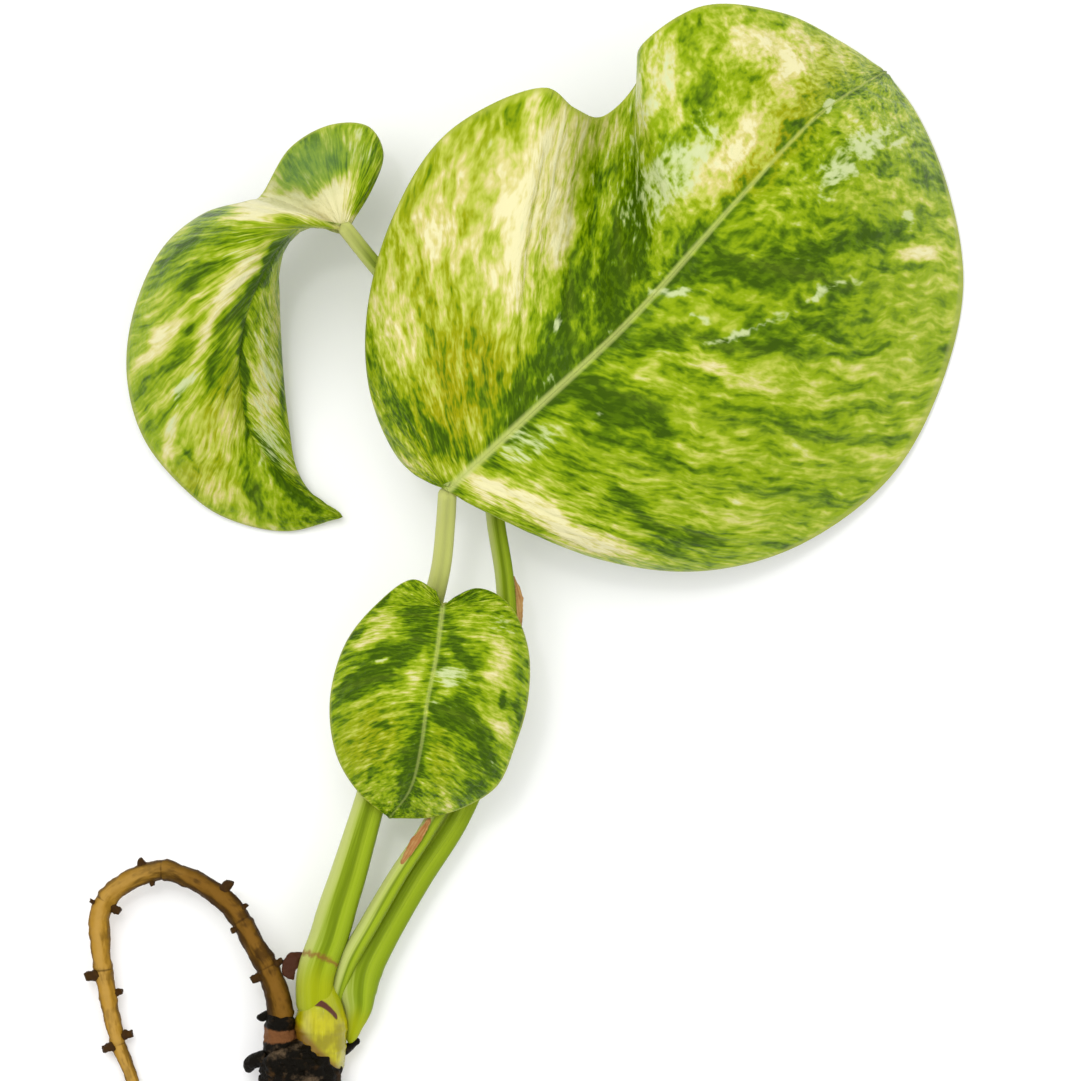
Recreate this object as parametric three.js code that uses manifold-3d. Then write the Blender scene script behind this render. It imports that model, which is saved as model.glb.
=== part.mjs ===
// A bare-rooted cutting of a marbled pothos: one short piece of stem with an old blackened end,
// one looping aerial root, three leaf stalks and three heart-shaped leaves. It lies on a flat surface.
// Units are millimetres, +Z is up and the surface is Z = 0. Lengths along the plant are laid out
// from the node, where the leaf stalks leave the stem, and the finished group is centred on its box.

import * as THREE from 'three';
import Module from 'manifold-3d';
import { mergeVertices } from 'three/addons/utils/BufferGeometryUtils.js';

const wasm = await Module();
wasm.setup();

// ---- Driving dimensions -------------------------------------------------------------------------

// Gap kept between two pieces that touch.
const JOINT_GAP = 0.3;

// Leaves: straight length from stalk to tip, blade thickness, depth of the midrib under the blade,
// and height of the point where the stalk meets the blade.
const LARGE_LEAF = { length: 100, thickness: 0.9, ribDepth: 0.8, height: 28 };
const CURLED_LEAF = { length: 46, thickness: 0.8, ribDepth: 0.3, height: 26 };
const SMALL_LEAF = { length: 35, thickness: 0.8, ribDepth: 0.4, height: 24 };

// Leaf stalks: straight reach from the node to the leaf, and the two end diameters.
const LARGE_STALK = { reach: 87, baseDiameter: 6.2, tipDiameter: 3.3 };
const CURLED_STALK = { reach: 126.8, baseDiameter: 6.4, tipDiameter: 2.4 };
const SMALL_STALK = { reach: 69, baseDiameter: 2.6, tipDiameter: 2.2 };

// Stem, its old end, the aerial root and the short thin root beside the stem.
const STEM = { diameter: 8.2, length: 8.4, height: 7.2 };
const OLD_END = { diameter: 12.4, length: 11, knobDiameter: 4.6 };
const ROOT = { reach: 37, baseDiameter: 4.2, midDiameter: 3, tipDiameter: 1 };
const ROOTLET = { length: 1.5, diameter: 0.9 };
const THIN_ROOT = { length: 7, diameter: 1.5 };

// Papery sheath left on the stalks.
const SHEATH = { thickness: 0.5, edgeLength: 8, edgeWidth: 1.8, tipLength: 6.5, tipWidth: 1.8 };
const FLAP = { length: 4.6, width: 3, thickness: 0.5 };

// ---- Outlines -----------------------------------------------------------------------------------
// Blade points are [x, y, height]: x and y in hundredths of the leaf's length from where the stalk
// meets it, height in millimetres above the surface when that meeting point is at designHeight.
// A margin entry is [along, x, y, height, lift]: along says how far up the midrib the vein to that
// point of the margin starts, and lift is how far the blade bulges up halfway along the vein.

const LARGE_BLADE = {
  designHeight: 28,
  midrib: [
    [0, 0, 28], [13, 12, 34], [29, 27, 38], [45, 45, 36], [58, 59, 28], [66, 65, 15], [70.5, 67.8, 2.5],
  ],
  left: [
    [0, -2, 2, 27, 0], [0, -7, 4, 23, 1], [0, -12, 14, 24, 3], [0, -13, 27, 27, 4],
    [0.03, -9, 43, 29, 4], [0.07, 0, 57, 32, 4], [0.13, 15.5, 64, 37, 3], [0.2, 20, 61, 33, 1],
    [0.3, 25, 60, 24, -2], [0.38, 30, 65, 22, -1], [0.46, 31, 71, 33, 3], [0.58, 40, 77, 33, 3],
    [0.7, 53, 76.5, 24, 3], [0.84, 63.5, 72, 12, 2], [1, 70.5, 67.8, 2.5, 0],
  ],
  right: [
    [0, 4, -2, 27, 0], [0, 12, -6, 24, 2], [0, 24, -11, 19, 5], [0.03, 40, -13, 13, 8],
    [0.1, 56, -9, 7, 9], [0.2, 71, 2, 3, 10], [0.32, 79, 16, 1.2, 10], [0.46, 83, 33, 1, 9],
    [0.62, 80.5, 49, 1.5, 8], [0.8, 75.5, 61, 2, 4], [1, 70.5, 67.8, 2.5, 0],
  ],
};

const CURLED_BLADE = {
  designHeight: 26,
  midrib: [
    [0, 0, 26], [-8, 1, 29], [-15, 1, 29.5], [-24, -8, 27], [-31, -21, 23], [-36, -37, 18],
    [-37, -54, 13], [-34, -70, 9], [-21, -87, 5], [-1, -100, 2],
  ],
  // Margin nearest the large leaf, which hangs steeply under the midrib.
  right: [
    [0, -2, 0, 23, 0], [0, -5, 2, 18, 0], [0.08, -10, 3, 14, 0], [0.16, -17, 0, 12, 0],
    [0.26, -24, -11, 10, 0], [0.36, -23, -30, 9, 0], [0.48, -22, -49, 7, 0], [0.6, -20, -68, 5, 0],
    [0.75, -17, -84, 3, 0], [0.88, -11, -93, 2.5, 0], [1, -1, -100, 2, 0],
  ],
  // Outer margin: the lobe behind the fold, then the broad arched half.
  left: [
    [0, 3, 2, 25, 0], [0, 10, 14, 22, 0], [0, 14, 27, 20, 1], [0, 9, 36, 19, 1], [0, -4, 37, 17, 1],
    [0, -19, 29, 14, 1], [0, -29, 13, 12, 0], [0.04, -34, 10, 20, 8], [0.1, -49, 6, 17, 10],
    [0.17, -64, -6, 14, 9], [0.27, -75, -30, 10, 8], [0.38, -77, -52, 7, 7], [0.5, -71, -73, 4.5, 5],
    [0.62, -56, -91, 3, 4], [0.74, -43, -100, 2, 3], [0.86, -21, -105, 1.5, 1.5], [1, -1, -100, 2, 0],
  ],
};

const SMALL_BLADE = {
  designHeight: 24,
  midrib: [[0, 0, 24], [-3, -23, 26], [-7, -43, 26.5], [-10, -64, 25], [-15, -83, 21], [-25, -97, 16]],
  left: [
    [0, 3, 3, 24, 0], [0, 16, 9, 23, 0.5], [0, 30, 2, 21, 1.5], [0.1, 39, -18, 19.5, 2.5],
    [0.25, 39, -43, 18.5, 3], [0.42, 33, -64, 17.5, 3], [0.58, 25, -82, 16.5, 2],
    [0.74, 10, -92, 15.5, 1.5], [0.88, -8, -97, 15, 0.5], [1, -25, -97, 16, 0],
  ],
  right: [
    [0, -3, 8, 24, 0], [0, -14, 13, 23, 0.5], [0, -31, 1, 21.5, 1.5], [0.12, -45, -17, 20.5, 2.5],
    [0.3, -52, -43, 19.5, 3], [0.5, -49, -68, 18.5, 2.5], [0.72, -39, -85, 18, 1.5], [1, -25, -97, 16, 0],
  ],
};

// Stalk routes are [x, y, height]: x and y in hundredths of the stalk's reach from the node.
// A stalk that passes under another leaf takes its height there from that leaf's.
const LARGE_ROUTE = [
  [-3.5, 3.6, 8.4], [-2.6, 7, 9], [0, 14, 10], [2, 21, 10.8],
  [4, 27, SMALL_LEAF.height - 12.6], [7, 37, SMALL_LEAF.height - 11.6],
  [10, 47, SMALL_LEAF.height - 10.6], [14, 59, SMALL_LEAF.height - 9.2], [18, 72, SMALL_LEAF.height - 7],
  [21, 83, SMALL_LEAF.height - 4], [22, 91, LARGE_LEAF.height - 5],
];
// The foot of the curled leaf's stalk keeps its place at the node, in millimetres.
const CURLED_FOOT = [[3.8, 3, 6.4], [5.1, 6.3, 6.2], [8.2, 13.3, 6.4]];
const CURLED_ROUTE = [
  [11, 18, 7], [16, 25.5, SMALL_LEAF.height - 16.2], [19.5, 33, SMALL_LEAF.height - 15.4],
  [22, 42, SMALL_LEAF.height - 14.2], [22.8, 49, SMALL_LEAF.height - 12.8],
  [22.5, 56, SMALL_LEAF.height - 11.2], [21.5, 62, LARGE_LEAF.height - 13.6],
  [20.4, 69.5, LARGE_LEAF.height - 12],
  [17.6, 77.5, LARGE_LEAF.height - 10.2], [14, 85, LARGE_LEAF.height - 8.4],
  [10, 91, LARGE_LEAF.height - 6.6], [6, 95.6, LARGE_LEAF.height - 4.8],
];
// The small leaf's stalk rides on the curled leaf's stalk, then rises to its own leaf.
const SMALL_ROUTE_FREE = [
  [31, 71, SMALL_LEAF.height - 10.8], [32, 82, SMALL_LEAF.height - 9], [31, 90, SMALL_LEAF.height - 5],
];
const SMALL_RIDE = { from: 0, to: 0.34, side: -0.5, up: 0.86, steps: 7 };

const LARGE_STALK_END = [22.3, 97.5];
const CURLED_STALK_END = [2.5, 99.9];
const SMALL_STALK_END = [27.1, 96.3];

// Aerial root: x and y in hundredths of its reach from the node, height in millimetres.
const ROOT_ROUTE = [
  [-19.5, 1, 7.8], [-22, 12, 8.2], [-26, 22.5, 8.4], [-31.5, 32, 8.2], [-38, 44, 7.8], [-45, 52, 7.4],
  [-54.5, 58.5, 7], [-64, 63, 6.7], [-72, 65, 6.4], [-80, 63, 6.1], [-89, 58.5, 5.8], [-96, 52, 5.5],
  [-99, 45, 5.2], [-99, 35, 4.8], [-98, 24, 4.3], [-96, 12, 3.8], [-94, 1, 3.2], [-91.5, -10, 2.7],
  [-87, -22, 2.1], [-80, -40, 1.6], [-72, -53, 1],
];
// Rootlet stubs: place along the root, and the turn around it from the right-hand side, in degrees.
const ROOT_STUBS = [
  [0.09, 170], [0.15, 200], [0.31, 20], [0.45, 100], [0.48, 200], [0.57, 120], [0.6, 260], [0.72, 130],
  [0.76, 300], [0.86, 150], [0.89, 330],
];

// ---- Colours ------------------------------------------------------------------------------------

const LEAF = new THREE.MeshStandardMaterial({ color: 0x8faa35, roughness: 0.42, metalness: 0 });
const STALK = new THREE.MeshStandardMaterial({ color: 0xa9bd55, roughness: 0.45, metalness: 0 });
const STEM_SKIN = new THREE.MeshStandardMaterial({ color: 0xc9c440, roughness: 0.35, metalness: 0 });
const DEAD_STEM = new THREE.MeshStandardMaterial({ color: 0x1d1713, roughness: 0.8, metalness: 0 });
const ROOT_BARK = new THREE.MeshStandardMaterial({ color: 0x8f6a34, roughness: 0.75, metalness: 0 });
const DRY_SHEATH = new THREE.MeshStandardMaterial({ color: 0x8a5a3a, roughness: 0.7, metalness: 0 });

// ---- Shared tools -------------------------------------------------------------------------------

const vec = (x, y, z) => new THREE.Vector3(x, y, z);
const smooth = (points) => new THREE.CatmullRomCurve3(points, false, 'centripetal');

// Route points given in hundredths of a reach become millimetres.
function routePoints(points, reach) {
  return points.map(([x, y, z]) => vec((x * reach) / 100, (y * reach) / 100, z));
}

// Value at u in 0..1 of a list of numbers spread evenly, joined by straight lines.
function valueAt(list, u) {
  const place = u * (list.length - 1);
  const i = Math.min(Math.floor(place), list.length - 2);
  return THREE.MathUtils.lerp(list[i], list[i + 1], place - i);
}

// Closed body through a list of rings with the same number of points, capped at both ends.
function ringBody(rings) {
  const sides = rings[0].length;
  const positions = rings.flat().flatMap((p) => [p.x, p.y, p.z]);
  const index = [];
  for (let r = 0; r < rings.length - 1; r++) {
    for (let s = 0; s < sides; s++) {
      const a = r * sides + s;
      const b = r * sides + ((s + 1) % sides);
      index.push(a, b + sides, b, a, a + sides, b + sides);
    }
  }
  const last = (rings.length - 1) * sides;
  for (let s = 1; s < sides - 1; s++) {
    index.push(0, s, s + 1);
    index.push(last, last + s + 1, last + s);
  }
  const geometry = new THREE.BufferGeometry();
  geometry.setAttribute('position', new THREE.Float32BufferAttribute(positions, 3));
  geometry.setIndex(index);
  return geometry;
}

// Tapered round rod along a curve: radiusAt(u) gives its radius, flatten squeezes it across.
function rod(curve, radiusAt, { sides = 8, steps = 12, flatten = 1 } = {}) {
  const frames = curve.computeFrenetFrames(steps, false);
  const rings = [];
  for (let i = 0; i <= steps; i++) {
    const u = i / steps;
    const centre = curve.getPointAt(u);
    const tangent = curve.getTangentAt(u);
    const across = vec(tangent.y, -tangent.x, 0).normalize();
    const up = across.clone().cross(tangent).normalize();
    if (across.lengthSq() < 0.5) {
      across.copy(frames.normals[i]);
      up.copy(frames.binormals[i]);
    }
    const ring = [];
    for (let s = 0; s < sides; s++) {
      const angle = (2 * Math.PI * s) / sides;
      const point = centre.clone();
      point.addScaledVector(across, radiusAt(u) * Math.cos(angle));
      point.addScaledVector(up, radiusAt(u) * flatten * Math.sin(angle));
      ring.push(point);
    }
    rings.push(ring);
  }
  return ringBody(rings);
}

// Radius of a rod that tapers evenly from one end to the other.
function taper(fromDiameter, toDiameter) {
  return (u) => THREE.MathUtils.lerp(fromDiameter, toDiameter, u) / 2;
}

// Joins and cuts drop details finer than this.
const SLIVER = 0.01;

function toSolid(geometry) {
  const bare = geometry.clone();
  bare.deleteAttribute('normal');
  bare.deleteAttribute('uv');
  const merged = mergeVertices(bare, 1e-4);
  const vertProperties = Float32Array.from(merged.attributes.position.array);
  const triVerts = Uint32Array.from(merged.index.array);
  return new wasm.Manifold(new wasm.Mesh({ numProp: 3, vertProperties, triVerts }));
}

function fromSolid(solid) {
  const mesh = solid.simplify(SLIVER).getMesh();
  const geometry = new THREE.BufferGeometry();
  geometry.setAttribute('position', new THREE.Float32BufferAttribute(mesh.vertProperties, 3));
  geometry.setIndex(Array.from(mesh.triVerts));
  geometry.computeVertexNormals();
  return geometry;
}

// One body from several that run into each other.
function joined(geometries) {
  const [first, ...rest] = geometries.map(toSolid);
  return fromSolid(rest.reduce((sum, next) => sum.add(next), first));
}

// A body with room cut out of it, a gap wider all round, for the rods that run into it.
function cutFor(geometry, rods) {
  return fromSolid(rods.reduce((body, { curve, radiusAt }) => {
    const grown = (u) => radiusAt(u) + JOINT_GAP;
    const start = curve.getPointAt(0);
    const tangent = curve.getTangentAt(0);
    const before = start.clone().addScaledVector(tangent, -JOINT_GAP);
    const after = start.clone().addScaledVector(tangent, JOINT_GAP);
    const foot = rod(new THREE.LineCurve3(before, after), () => grown(0), { steps: 1, sides: 12 });
    const sleeve = rod(curve, grown, { steps: 22, sides: 12 });
    return body.subtract(toSolid(foot)).subtract(toSolid(sleeve));
  }, toSolid(geometry)));
}

// ---- Leaf blades --------------------------------------------------------------------------------

// One side of a blade: where its margin is for a vein that starts at a given place on the midrib.
function marginOf(entries, place) {
  const curve = smooth(entries.map(([, x, y, z]) => place(x, y, z)));
  const starts = entries.map((entry) => entry[0]);
  const lifts = entries.map((entry) => entry[4]);
  const lobeEnd = starts.lastIndexOf(0) / (starts.length - 1);
  const steps = starts.length - 1;
  const atStart = (along) => {
    let i = starts.lastIndexOf(0);
    while (i < steps - 1 && starts[i + 1] < along) i++;
    return (i + (along - starts[i]) / (starts[i + 1] - starts[i])) / steps;
  };
  return {
    lobeEnd,
    atStart,
    point: (u) => curve.getPoint(u),
    lift: (u) => valueAt(lifts, u),
  };
}

// Veins crowd towards the stalk end of the midrib.
const VEIN_CROWDING = 1.4;

// Middle surface of a blade: veins fan out of the stalk into each lobe, then leave the midrib.
function bladeSurface(shape, size, base, { lobeVeins, veins, steps }) {
  const rise = size.height / shape.designHeight;
  const scale = size.length / 100;
  const place = (x, y, z) => vec(base.x + x * scale, base.y + y * scale, z * rise);
  const midrib = smooth(shape.midrib.map(([x, y, z]) => place(x, y, z)));
  const points = [];
  const found = new Map();
  const onRib = [];
  const index = [];
  const add = (point, rib) => {
    const key = point.toArray().map((value) => value.toFixed(3)).join();
    if (!found.has(key)) {
      found.set(key, points.length);
      points.push(point);
      onRib.push(rib);
    }
    return found.get(key);
  };
  for (const [entries, turn] of [[shape.left, 1], [shape.right, -1]]) {
    const margin = marginOf(entries, place);
    const rows = [];
    for (let i = 0; i <= lobeVeins; i++) rows.push([0, (margin.lobeEnd * i) / lobeVeins]);
    for (let i = 1; i <= veins; i++) {
      const along = (i / veins) ** VEIN_CROWDING;
      rows.push([along, margin.atStart(along)]);
    }
    const grid = rows.map(([along, u]) => {
      const start = midrib.getPoint(along);
      const end = margin.point(u);
      const lift = margin.lift(u) * rise;
      return Array.from({ length: steps + 1 }, (_, s) => {
        const share = s / steps;
        const point = start.clone().lerp(end, share);
        point.z += lift * 4 * share * (1 - share);
        return add(point, s === 0);
      });
    });
    for (let r = 0; r < grid.length - 1; r++) {
      for (let s = 0; s < steps; s++) {
        const corners = [grid[r][s], grid[r][s + 1], grid[r + 1][s + 1], grid[r + 1][s]];
        if (turn < 0) corners.reverse();
        const [a, b, c, d] = corners;
        if (a !== b && b !== c && a !== c) index.push(a, c, b);
        if (a !== c && c !== d && a !== d) index.push(a, d, c);
      }
    }
  }
  return { points, onRib, index };
}

// Solid blade: the middle surface moved half a thickness each way, with the midrib standing out below.
function blade(shape, size, base, detail) {
  const { points, onRib, index } = bladeSurface(shape, size, base, detail);
  const middle = new THREE.BufferGeometry();
  middle.setAttribute('position', new THREE.Float32BufferAttribute(points.flatMap((p) => p.toArray()), 3));
  middle.setIndex(index);
  middle.computeVertexNormals();
  const normals = middle.attributes.normal;
  const count = points.length;
  const positions = new Array(count * 6);
  for (let i = 0; i < count; i++) {
    const normal = vec().fromBufferAttribute(normals, i);
    const top = points[i].clone().addScaledVector(normal, size.thickness / 2);
    const depth = size.thickness / 2 + (onRib[i] ? size.ribDepth : 0);
    const bottom = points[i].clone().addScaledVector(normal, -depth);
    top.toArray(positions, i * 3);
    bottom.toArray(positions, (count + i) * 3);
  }
  const faces = [];
  const edges = new Map();
  for (let t = 0; t < index.length; t += 3) {
    const [a, b, c] = index.slice(t, t + 3);
    faces.push(a, b, c, count + c, count + b, count + a);
    for (const [from, to] of [[a, b], [b, c], [c, a]]) {
      if (!edges.delete(`${to},${from}`)) edges.set(`${from},${to}`, [from, to]);
    }
  }
  for (const [from, to] of edges.values()) {
    faces.push(to, from, count + from, to, count + from, count + to);
  }
  const geometry = new THREE.BufferGeometry();
  geometry.setAttribute('position', new THREE.Float32BufferAttribute(positions, 3));
  geometry.setIndex(faces);
  geometry.computeVertexNormals();
  return geometry;
}

// Where each stalk meets its leaf.
function leafBase([x, y], stalk, leaf) {
  return vec((x * stalk.reach) / 100, (y * stalk.reach) / 100, leaf.height);
}

// ---- The plant ----------------------------------------------------------------------------------

const plant = new THREE.Group();

function addPiece(name, geometry, material) {
  const mesh = new THREE.Mesh(geometry, material);
  mesh.name = name;
  plant.add(mesh);
  return mesh;
}

// A stalk that comes up under its leaf stops a gap below the blade.
function underLeaf(base, leaf, stalk) {
  return base.clone().add(vec(0, 0, -(leaf.thickness / 2 + JOINT_GAP + stalk.tipDiameter / 2)));
}

const largeBase = leafBase(LARGE_STALK_END, LARGE_STALK, LARGE_LEAF);
const curledBase = leafBase(CURLED_STALK_END, CURLED_STALK, CURLED_LEAF);
const smallBase = leafBase(SMALL_STALK_END, SMALL_STALK, SMALL_LEAF);

const largeBlade = blade(LARGE_BLADE, LARGE_LEAF, largeBase, { lobeVeins: 5, veins: 20, steps: 7 });
const curledBlade = blade(CURLED_BLADE, CURLED_LEAF, curledBase, { lobeVeins: 8, veins: 18, steps: 6 });
const smallBlade = blade(SMALL_BLADE, SMALL_LEAF, smallBase, { lobeVeins: 4, veins: 12, steps: 5 });
addPiece('blade_large_leaf', largeBlade, LEAF);
addPiece('blade_curled_leaf', curledBlade, LEAF);
addPiece('blade_small_leaf', smallBlade, LEAF);

// Stalk of the large leaf.
const largeCurve = smooth([
  ...routePoints(LARGE_ROUTE, LARGE_STALK.reach),
  underLeaf(largeBase, LARGE_LEAF, LARGE_STALK),
]);
const largeRadius = taper(LARGE_STALK.baseDiameter, LARGE_STALK.tipDiameter);
addPiece('stalk_large_leaf', rod(largeCurve, largeRadius, { steps: 14, sides: 10 }), STALK);

// Stalk of the curled leaf: it meets its blade end-on, so it stops short of it.
const curledFoot = CURLED_FOOT.map((point) => vec(...point));
const curledRoute = [...curledFoot, ...routePoints(CURLED_ROUTE, CURLED_STALK.reach)];
const arrival = curledBase.clone().sub(curledRoute.at(-1)).normalize();
const curledStop = CURLED_LEAF.thickness + JOINT_GAP;
const curledCurve = smooth([...curledRoute, curledBase.clone().addScaledVector(arrival, -curledStop)]);
const CURLED_TAPER = [1, 0.97, 0.85, 0.6, 0.48, 0.42];
const curledTip = CURLED_STALK.tipDiameter / CURLED_STALK.baseDiameter;
const curledRadius = (u) => valueAt([...CURLED_TAPER, curledTip], u) * (CURLED_STALK.baseDiameter / 2);
addPiece('stalk_curled_leaf', rod(curledCurve, curledRadius, { steps: 22, sides: 10 }), STALK);

// Stalk of the small leaf.
function rideOn(curve, radiusAt, ownRadius, { from, to, side, up, steps }) {
  return Array.from({ length: steps + 1 }, (_, i) => {
    const u = THREE.MathUtils.lerp(from, to, i / steps);
    const tangent = curve.getTangentAt(u);
    const across = vec(tangent.y, -tangent.x, 0).normalize();
    const out = across.multiplyScalar(side).add(vec(0, 0, up)).normalize();
    return curve.getPointAt(u).addScaledVector(out, radiusAt(u) + ownRadius + JOINT_GAP);
  });
}
const smallRadius = taper(SMALL_STALK.baseDiameter, SMALL_STALK.tipDiameter);
const smallCurve = smooth([
  ...rideOn(curledCurve, curledRadius, SMALL_STALK.baseDiameter / 2, SMALL_RIDE),
  ...routePoints(SMALL_ROUTE_FREE, SMALL_STALK.reach),
  underLeaf(smallBase, SMALL_LEAF, SMALL_STALK),
]);
addPiece('stalk_small_leaf', rod(smallCurve, smallRadius, { steps: 14 }), STALK);

const stalks = [
  { curve: largeCurve, radiusAt: largeRadius },
  { curve: curledCurve, radiusAt: curledRadius },
  { curve: smallCurve, radiusAt: smallRadius },
];

// Course of the aerial root, which the stem and the old end make room for.
const rootCurve = smooth(routePoints(ROOT_ROUTE, ROOT.reach));
const rootRadius = (u) => {
  const { baseDiameter, midDiameter, tipDiameter } = ROOT;
  const lower = midDiameter * 0.75;
  return valueAt([baseDiameter, midDiameter, midDiameter, lower, tipDiameter], u) / 2;
};
const root = { curve: rootCurve, radiusAt: rootRadius };

// Stem: a short swollen piece that runs back from the node to its old end.
const STEM_TAPER = [0.92, 0.98, 1, 1, 0.84];
const stemBack = vec(-0.3, -0.95, -0.04).normalize();
const stemStart = vec(0.7, 2.8, STEM.height);
const stemEnd = stemStart.clone().addScaledVector(stemBack, STEM.length);
const stemCurve = new THREE.LineCurve3(stemEnd, stemStart);
const stemRadius = (u) => valueAt(STEM_TAPER, u) * (STEM.diameter / 2);
const stemBody = rod(stemCurve, stemRadius, { steps: 6, sides: 14 });
addPiece('stem', cutFor(stemBody, [...stalks, root]), STEM_SKIN);

// Old end: the dead, shrunken length behind the living stem, with the knob that the aerial root
// grows from. It is wider than it is high and rests on the surface.
const OLD_TAPER = [0.78, 0.98, 1, 0.9, 0.8, 0.5];
const KNOB_TAPER = [0.7, 1, 0.8];
const FLATNESS = 0.84;
const KNOB_PLACE = 0.3;
const oldBack = vec(-0.42, -0.9, 0).normalize();
const oldStart = stemEnd.clone().addScaledVector(oldBack, JOINT_GAP).add(vec(-0.9, 0, 0));
oldStart.z = OLD_END.diameter * 0.48;
const oldTip = oldStart.clone().addScaledVector(oldBack, OLD_END.length);
oldTip.z = OLD_END.diameter * 0.36;
const oldRadius = (u) => valueAt(OLD_TAPER, u) * (OLD_END.diameter / 2);
const oldCurve = new THREE.LineCurve3(oldStart, oldTip);
const oldBody = rod(oldCurve, oldRadius, { steps: 8, sides: 14, flatten: FLATNESS });
const knobEnd = rootCurve.getPointAt(0).addScaledVector(rootCurve.getTangentAt(0), -JOINT_GAP);
const knobRadius = (u) => valueAt(KNOB_TAPER, u) * (OLD_END.knobDiameter / 2);
const knobStart = oldCurve.getPointAt(KNOB_PLACE);
const knob = rod(new THREE.LineCurve3(knobStart, knobEnd), knobRadius, { steps: 5 });
const stem = { curve: stemCurve, radiusAt: stemRadius };
addPiece('old_stem_end', cutFor(joined([oldBody, knob]), [root, stem]), DEAD_STEM);

// Aerial root with its rootlet stubs, one body.
function rootStub([u, turn]) {
  const tangent = rootCurve.getTangentAt(u);
  const across = vec(tangent.y, -tangent.x, 0).normalize();
  const up = across.clone().cross(tangent).normalize();
  const angle = THREE.MathUtils.degToRad(turn);
  const out = across.multiplyScalar(Math.cos(angle)).addScaledVector(up, Math.sin(angle));
  const centre = rootCurve.getPointAt(u);
  const tip = centre.clone().addScaledVector(out, rootRadius(u) + ROOTLET.length);
  const radiusAt = taper(ROOTLET.diameter, ROOTLET.diameter * 0.6);
  return rod(new THREE.LineCurve3(centre, tip), radiusAt, { steps: 1, sides: 5 });
}
const rootBody = rod(rootCurve, rootRadius, { steps: 30, sides: 8 });
addPiece('aerial_root', joined([rootBody, ...ROOT_STUBS.map(rootStub)]), ROOT_BARK);

// Short thin root beside the stem.
const thinStart = stemStart.clone().addScaledVector(stemBack, STEM.length * 0.62);
thinStart.add(vec(STEM.diameter / 2 + THIN_ROOT.diameter / 2 + JOINT_GAP, 0.4, -1.6));
const thinMiddle = thinStart.clone().add(vec(0.5, -THIN_ROOT.length * 0.5, -0.7));
const thinTip = thinStart.clone().add(vec(-0.3, -THIN_ROOT.length, -1.8));
const thinCurve = smooth([thinStart, thinMiddle, thinTip]);
const thinBody = rod(thinCurve, taper(THIN_ROOT.diameter, THIN_ROOT.diameter / 2), { steps: 5, sides: 7 });
addPiece('thin_root', thinBody, DEAD_STEM);

// Papery strip of sheath that lies along one side of a stalk, between two places on it.
function sheathStrip(curve, radiusAt, { centre, length, width, side, up, thickness }) {
  const half = length / curve.getLength() / 2;
  const rings = [];
  const steps = 4;
  for (let i = 0; i <= steps; i++) {
    const u = centre + half * ((2 * i) / steps - 1);
    const tangent = curve.getTangentAt(u);
    const across = vec(tangent.y, -tangent.x, 0).normalize();
    const out = across.multiplyScalar(side).add(vec(0, 0, up)).normalize();
    const through = out.clone().cross(tangent).normalize().multiplyScalar(thickness / 2);
    const inner = curve.getPointAt(u).addScaledVector(out, radiusAt(u) + JOINT_GAP);
    const outer = inner.clone().addScaledVector(out, width * (0.35 + 0.65 * Math.sin((Math.PI * i) / steps)));
    rings.push([
      inner.clone().sub(through),
      outer.clone().sub(through),
      outer.clone().add(through),
      inner.clone().add(through),
    ]);
  }
  return ringBody(rings);
}
const { thickness, edgeLength, edgeWidth, tipLength, tipWidth } = SHEATH;
addPiece(
  'sheath_edge',
  sheathStrip(curledCurve, curledRadius, {
    centre: 0.22, length: edgeLength, width: edgeWidth, side: -1, up: -0.1, thickness,
  }),
  DRY_SHEATH,
);
addPiece(
  'sheath_tip',
  sheathStrip(curledCurve, curledRadius, {
    centre: 0.47, length: tipLength, width: tipWidth, side: 1, up: 0.1, thickness,
  }),
  DRY_SHEATH,
);
// Torn flap of sheath beside the foot of the large leaf's stalk.
addPiece(
  'sheath_flap',
  sheathStrip(largeCurve, largeRadius, {
    centre: 0.06, length: FLAP.length, width: FLAP.width, side: -1, up: 0.15, thickness: FLAP.thickness,
  }),
  DRY_SHEATH,
);

// The origin is the middle of the bottom of the whole plant's box.
const box = new THREE.Box3().setFromObject(plant);
const middle = box.getCenter(vec());
plant.position.set(-middle.x, -middle.y, -box.min.z);

export default plant;
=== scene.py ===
import bpy
import math
import numpy as np
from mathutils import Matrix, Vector, noise


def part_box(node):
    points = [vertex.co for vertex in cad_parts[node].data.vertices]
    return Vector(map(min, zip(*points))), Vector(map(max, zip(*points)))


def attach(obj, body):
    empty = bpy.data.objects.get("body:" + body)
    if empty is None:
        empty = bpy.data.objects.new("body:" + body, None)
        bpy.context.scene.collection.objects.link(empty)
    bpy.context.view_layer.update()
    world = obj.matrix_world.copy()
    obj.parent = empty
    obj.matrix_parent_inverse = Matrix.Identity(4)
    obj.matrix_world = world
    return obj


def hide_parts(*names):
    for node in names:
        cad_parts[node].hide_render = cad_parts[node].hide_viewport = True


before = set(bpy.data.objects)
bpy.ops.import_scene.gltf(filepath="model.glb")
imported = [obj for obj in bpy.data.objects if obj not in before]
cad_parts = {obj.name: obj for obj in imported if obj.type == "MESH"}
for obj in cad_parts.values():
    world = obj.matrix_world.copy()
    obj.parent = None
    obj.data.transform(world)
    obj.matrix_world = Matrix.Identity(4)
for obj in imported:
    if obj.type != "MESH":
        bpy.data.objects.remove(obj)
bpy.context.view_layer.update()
mm = 0.001


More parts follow.
